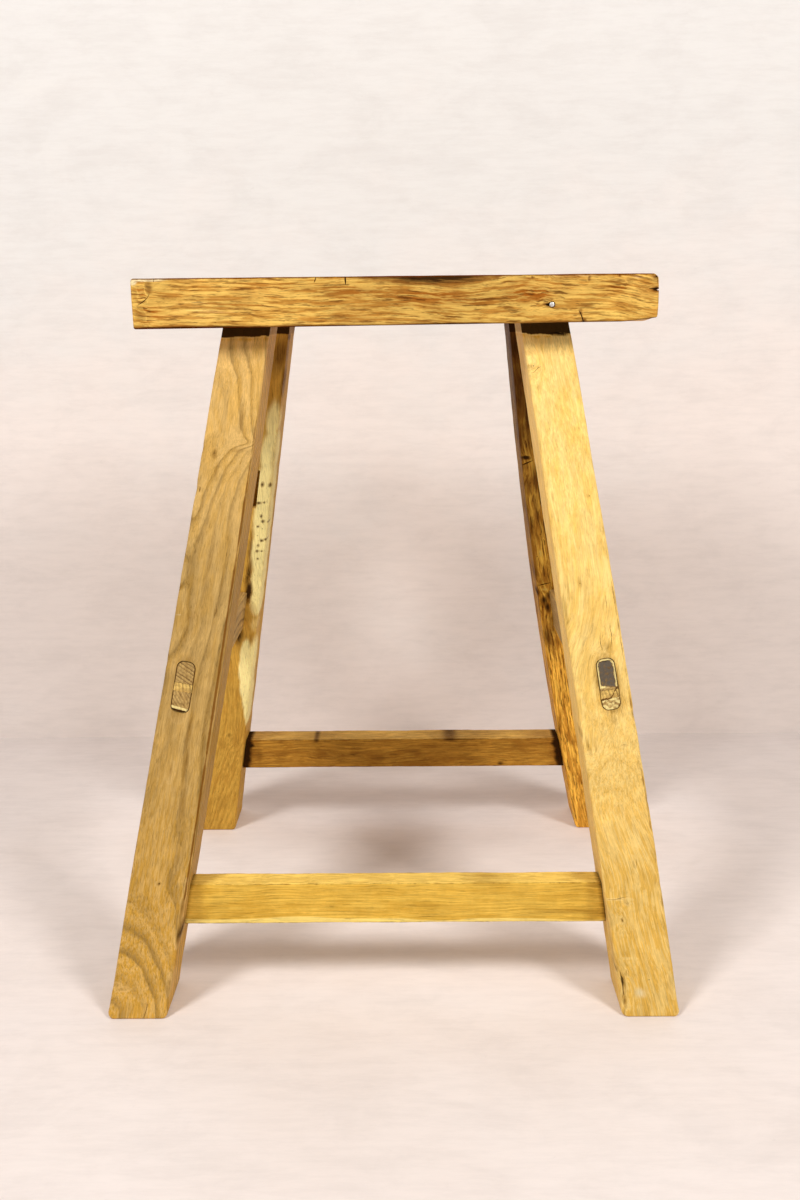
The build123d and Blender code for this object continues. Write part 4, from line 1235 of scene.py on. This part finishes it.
# The slots and the woods
LEG_SLOTS = {
    "front_left": "tan_leg_wood", "front_right": "pale_leg_wood",
    "back_left": "streaked_leg_wood", "back_right": "dark_leg_wood",
}
woods = {
    "seat": elm(
        "seat_elm", (0.9, 0.57, 0.13), (0.5, 0.215, 0.027), (0.4, 0.12, 0.01), RING["seat"],
        0.35, 0.75, 0.85, 0.36,
        heights=((0.16, 0.95), (0.34, 0.96), (0.45, 0.84), (0.6, 0.79), (0.72, 0.9), (0.84, 0.98)),
        length=1.5, fine=1.05, darker=0.7,
    ),
    "front_left": elm(
        "tan_leg_elm", (0.72, 0.455, 0.15), (0.32, 0.19, 0.055), (0.6, 0.32, 0.042), RING["front_left"],
        0.82, 0.14, 0.4, 0.4,
        heights=((0.0, 1.1), (0.12, 1.01), (0.3, 0.82), (0.6, 0.75), (0.78, 1.0), (1.0, 1.14)), darker=0.6,
    ),
    "front_right": elm(
        "pale_leg_elm", (0.97, 0.69, 0.24), (0.82, 0.46, 0.08), (0.82, 0.46, 0.06), RING["front_right"],
        0.25, 0.3, 0.22, 0.4,
        heights=((0.0, 0.86), (0.3, 0.95), (0.6, 1.0), (1.0, 1.04)), length=1.6, darker=0.2,
    ),
    "back_left": elm(
        "streaked_leg_elm", (0.7, 0.41, 0.07), (0.42, 0.2, 0.025), (0.44, 0.21, 0.025), RING["back_left"],
        0.45, 0.3, 0.4, 0.5,
        pale=(1.0, 0.87, 0.38), length=1.4,
    ),
    "back_right": elm(
        "dark_leg_elm", (0.84, 0.48, 0.07), (0.4, 0.155, 0.013), (0.26, 0.09, 0.007), RING["back_right"],
        0.8, 0.75, 0.7, 0.7,
        pale=(0.62, 0.42, 0.09), length=1.6, darker=1.1,
        heights=((0.0, 1.42), (0.34, 1.3), (0.48, 0.85), (0.7, 0.66), (0.82, 0.42), (1.0, 0.3)),
    ),
    "front": elm(
        "front_stretcher_elm", (0.9, 0.57, 0.095), (0.62, 0.33, 0.03), (0.62, 0.33, 0.03), RING["front"],
        0.5, 0.35, 0.4, 0.45,
        pale=(0.98, 0.74, 0.21), length=2.4, fine=1.2, darker=0.4,
    ),
    "back": elm(
        "back_stretcher_elm", (0.55, 0.275, 0.038), (0.3, 0.125, 0.013), (0.3, 0.125, 0.014), RING["back"],
        0.4, 0.5, 0.5, 0.8,
        pale=(0.82, 0.55, 0.15), length=1.6, darker=0.8,
    ),
    "side": elm(
        "side_stretcher_elm", (0.54, 0.35, 0.12), (0.15, 0.08, 0.028), (0.3, 0.15, 0.035), RING["side"],
        0.95, 0.2, 0.5, 0.4,
        pale=(0.85, 0.68, 0.28), dark=(0.12, 0.1, 0.078),
    ),
    "wedge": elm(
        "wedge_hardwood", (0.78, 0.52, 0.15), (0.16, 0.09, 0.03), (0.35, 0.18, 0.05), RING["wedge"],
        0.95, 0.2, 0.4, 0.4,
    ),
}
steel = bright_steel("bright_steel")

# The pieces
make_seat(woods["seat"])
for leg in LEGS.values():
    make_leg(leg, woods[leg.name])
for end_name in RAILS:
    make_rail(end_name, woods[end_name])
for side in SIDE_X:
    make_side_stretcher(side, woods["side"])
for leg in LEGS.values():
    make_wedge(
        leg.name + "_seat_wedge", woods["wedge"], leg.middle(SEAT_HEIGHT), leg.slope(), BACK, TENON_DEPTH,
        SEAT_WEDGE_MOUTH, lambda place: min(0.0, SEAT_HEIGHT - place.z),
    )
    side_place = side_wedge_place(leg)
    make_wedge(
        leg.name + "_side_wedge", woods["wedge"], *side_place, SIDE_WEDGE_MOUTH,
        lambda place: leg.end * (leg.outer_y(place.z) - leg.outer_y(side_place[0].z)) - 0.1,
    )
    make_wedge(leg.name + "_rail_wedge", woods["wedge"], *rail_wedge_place(leg), RAIL_WEDGE_MOUTH, lambda place: -0.35)
make_nail(steel)


def linen(name, low, high, low_at, high_at, one_sided=False):
    """pale pinkish linen, whose colour goes from low to high between two heights in metres"""
    f = Finish(name)
    place = f.add("TexCoord").outputs["Object"]
    height = f.add("SeparateXYZ", {0: place}).outputs[2]
    cloud = f.noise(f.stretched(place, (4.0, 4.0, 5.5)), 1.0, 6.0, 0.62)
    weave = f.rise(f.noise(f.stretched(place, (22.0, 130.0, 150.0)), 1.0, 5.0, 0.75), 0.38, 0.66)
    blotch = f.rise(f.noise(f.stretched(place, (14.0, 22.0, 26.0)), 1.0, 6.0, 0.7, 0.4), 0.42, 0.68)
    scuffs = f.rise(f.noise(f.stretched(place, (90.0, 200.0, 200.0)), 1.0, 6.0, 0.8, 0.8), 0.6, 0.72)
    share = f.math("ADD", f.rise(height, low_at, high_at), f.math("MULTIPLY", f.math("SUBTRACT", cloud, 0.5), 1.6))
    surface = f.mix(f.rise(share, 0.0, 1.0), colour(*low), colour(*high))
    worn = f.math("ADD", f.math("MULTIPLY", weave, 0.1), f.math("MULTIPLY", blotch, 0.12))
    worn = f.math("ADD", worn, f.math("MULTIPLY", scuffs, 0.12))
    surface = f.mix(worn, surface, colour(*[c * 0.6 for c in low]))
    f.put(f.shader.inputs["Base Color"], surface)
    f.shader.inputs["Roughness"].default_value = 0.95
    f.shader.inputs["Specular IOR Level"].default_value = 0.1
    if one_sided:
        # seen from behind, the wall lets the stool show
        facing_away = f.add("NewGeometry").outputs["Backfacing"]
        clear = f.add("BsdfTransparent").outputs[0]
        cloth = f.add("MixShader", {0: facing_away, 1: f.shader.outputs[0], 2: clear})
        f.put(f.nodes["Material Output"].inputs["Surface"], cloth.outputs[0])
    return f.material


def sheet(name, corners, material):
    """a flat sheet of the stage, with corners in metres"""
    mesh = bmesh.new()
    mesh.faces.new([mesh.verts.new(c) for c in corners])
    data = bpy.data.meshes.new(name)
    mesh.to_mesh(data)
    mesh.free()
    data.materials.append(material)
    made = bpy.data.objects.new(name, data)
    bpy.context.scene.collection.objects.link(made)


# The floor and the wall behind, in metres
WALL_Y, REACH = 0.368, 4
sheet(
    "floor", ((-REACH, -REACH, 0), (REACH, -REACH, 0), (REACH, REACH, 0), (-REACH, REACH, 0)),
    linen("floor_linen", (0.84, 0.755, 0.715), (0.88, 0.81, 0.785), -1, 1),
)
sheet(
    "wall", ((-REACH, WALL_Y, 0), (REACH, WALL_Y, 0), (REACH, WALL_Y, REACH), (-REACH, WALL_Y, REACH)),
    linen("wall_linen", (0.93, 0.845, 0.8), (0.84, 0.82, 0.8), 0.15, 0.75, True),
)


# The two softboxes, in metres and watts
LAMP_AIM, LAMP_SIZE, LAMP_TINT = (0, 0, 0.25), (0.35, 0.45), (1.0, 0.985, 0.965)


def lamp(name, place, power):
    light = bpy.data.lights.new(name, "AREA")
    light.shape = "RECTANGLE"
    light.size, light.size_y = LAMP_SIZE
    light.energy = power
    light.color = LAMP_TINT
    made = bpy.data.objects.new(name, light)
    made.location = place
    made.rotation_euler = (Vector(LAMP_AIM) - Vector(place)).to_track_quat("-Z", "Y").to_euler()
    bpy.context.scene.collection.objects.link(made)


lamp("left_lamp", (-0.83, -1.0, 1.42), 15.5)
lamp("right_lamp", (0.9, -1.03, 1.4), 14.3)
world = bpy.data.worlds.new("studio")
bpy.context.scene.world = world
world.use_nodes = True
backdrop = world.node_tree.nodes["Background"]
backdrop.inputs["Color"].default_value = (1.0, 0.97, 0.94, 1)
backdrop.inputs["Strength"].default_value = 0.33

# The camera as solved from the photograph, in millimetres and radians
CAMERA_X, CAMERA_BACK, CAMERA_HEIGHT, PITCH, YAW, ROLL = 8.35, 842.08, 472.64, 0.24977, -0.00916, 0.01017
ahead = Vector((math.sin(YAW) * math.cos(PITCH), math.cos(YAW) * math.cos(PITCH), -math.sin(PITCH)))
level_right = Vector((math.cos(YAW), -math.sin(YAW), 0))
level_down = ahead.cross(level_right)
right = math.cos(ROLL) * level_right + math.sin(ROLL) * level_down
down = -math.sin(ROLL) * level_right + math.cos(ROLL) * level_down
view = bpy.data.cameras.new("camera")
view.lens, view.sensor_width = 33.0, 36.0
view.clip_start, view.clip_end = 0.05, 30
camera = bpy.data.objects.new("camera", view)
axes = Matrix((right, -down, -ahead)).transposed().to_4x4()
camera.matrix_world = Matrix.Translation(Vector((CAMERA_X, -CAMERA_BACK, CAMERA_HEIGHT)) * MM) @ axes
bpy.context.scene.collection.objects.link(camera)
bpy.context.scene.camera = camera
bpy.context.scene.view_settings.view_transform = "Standard"
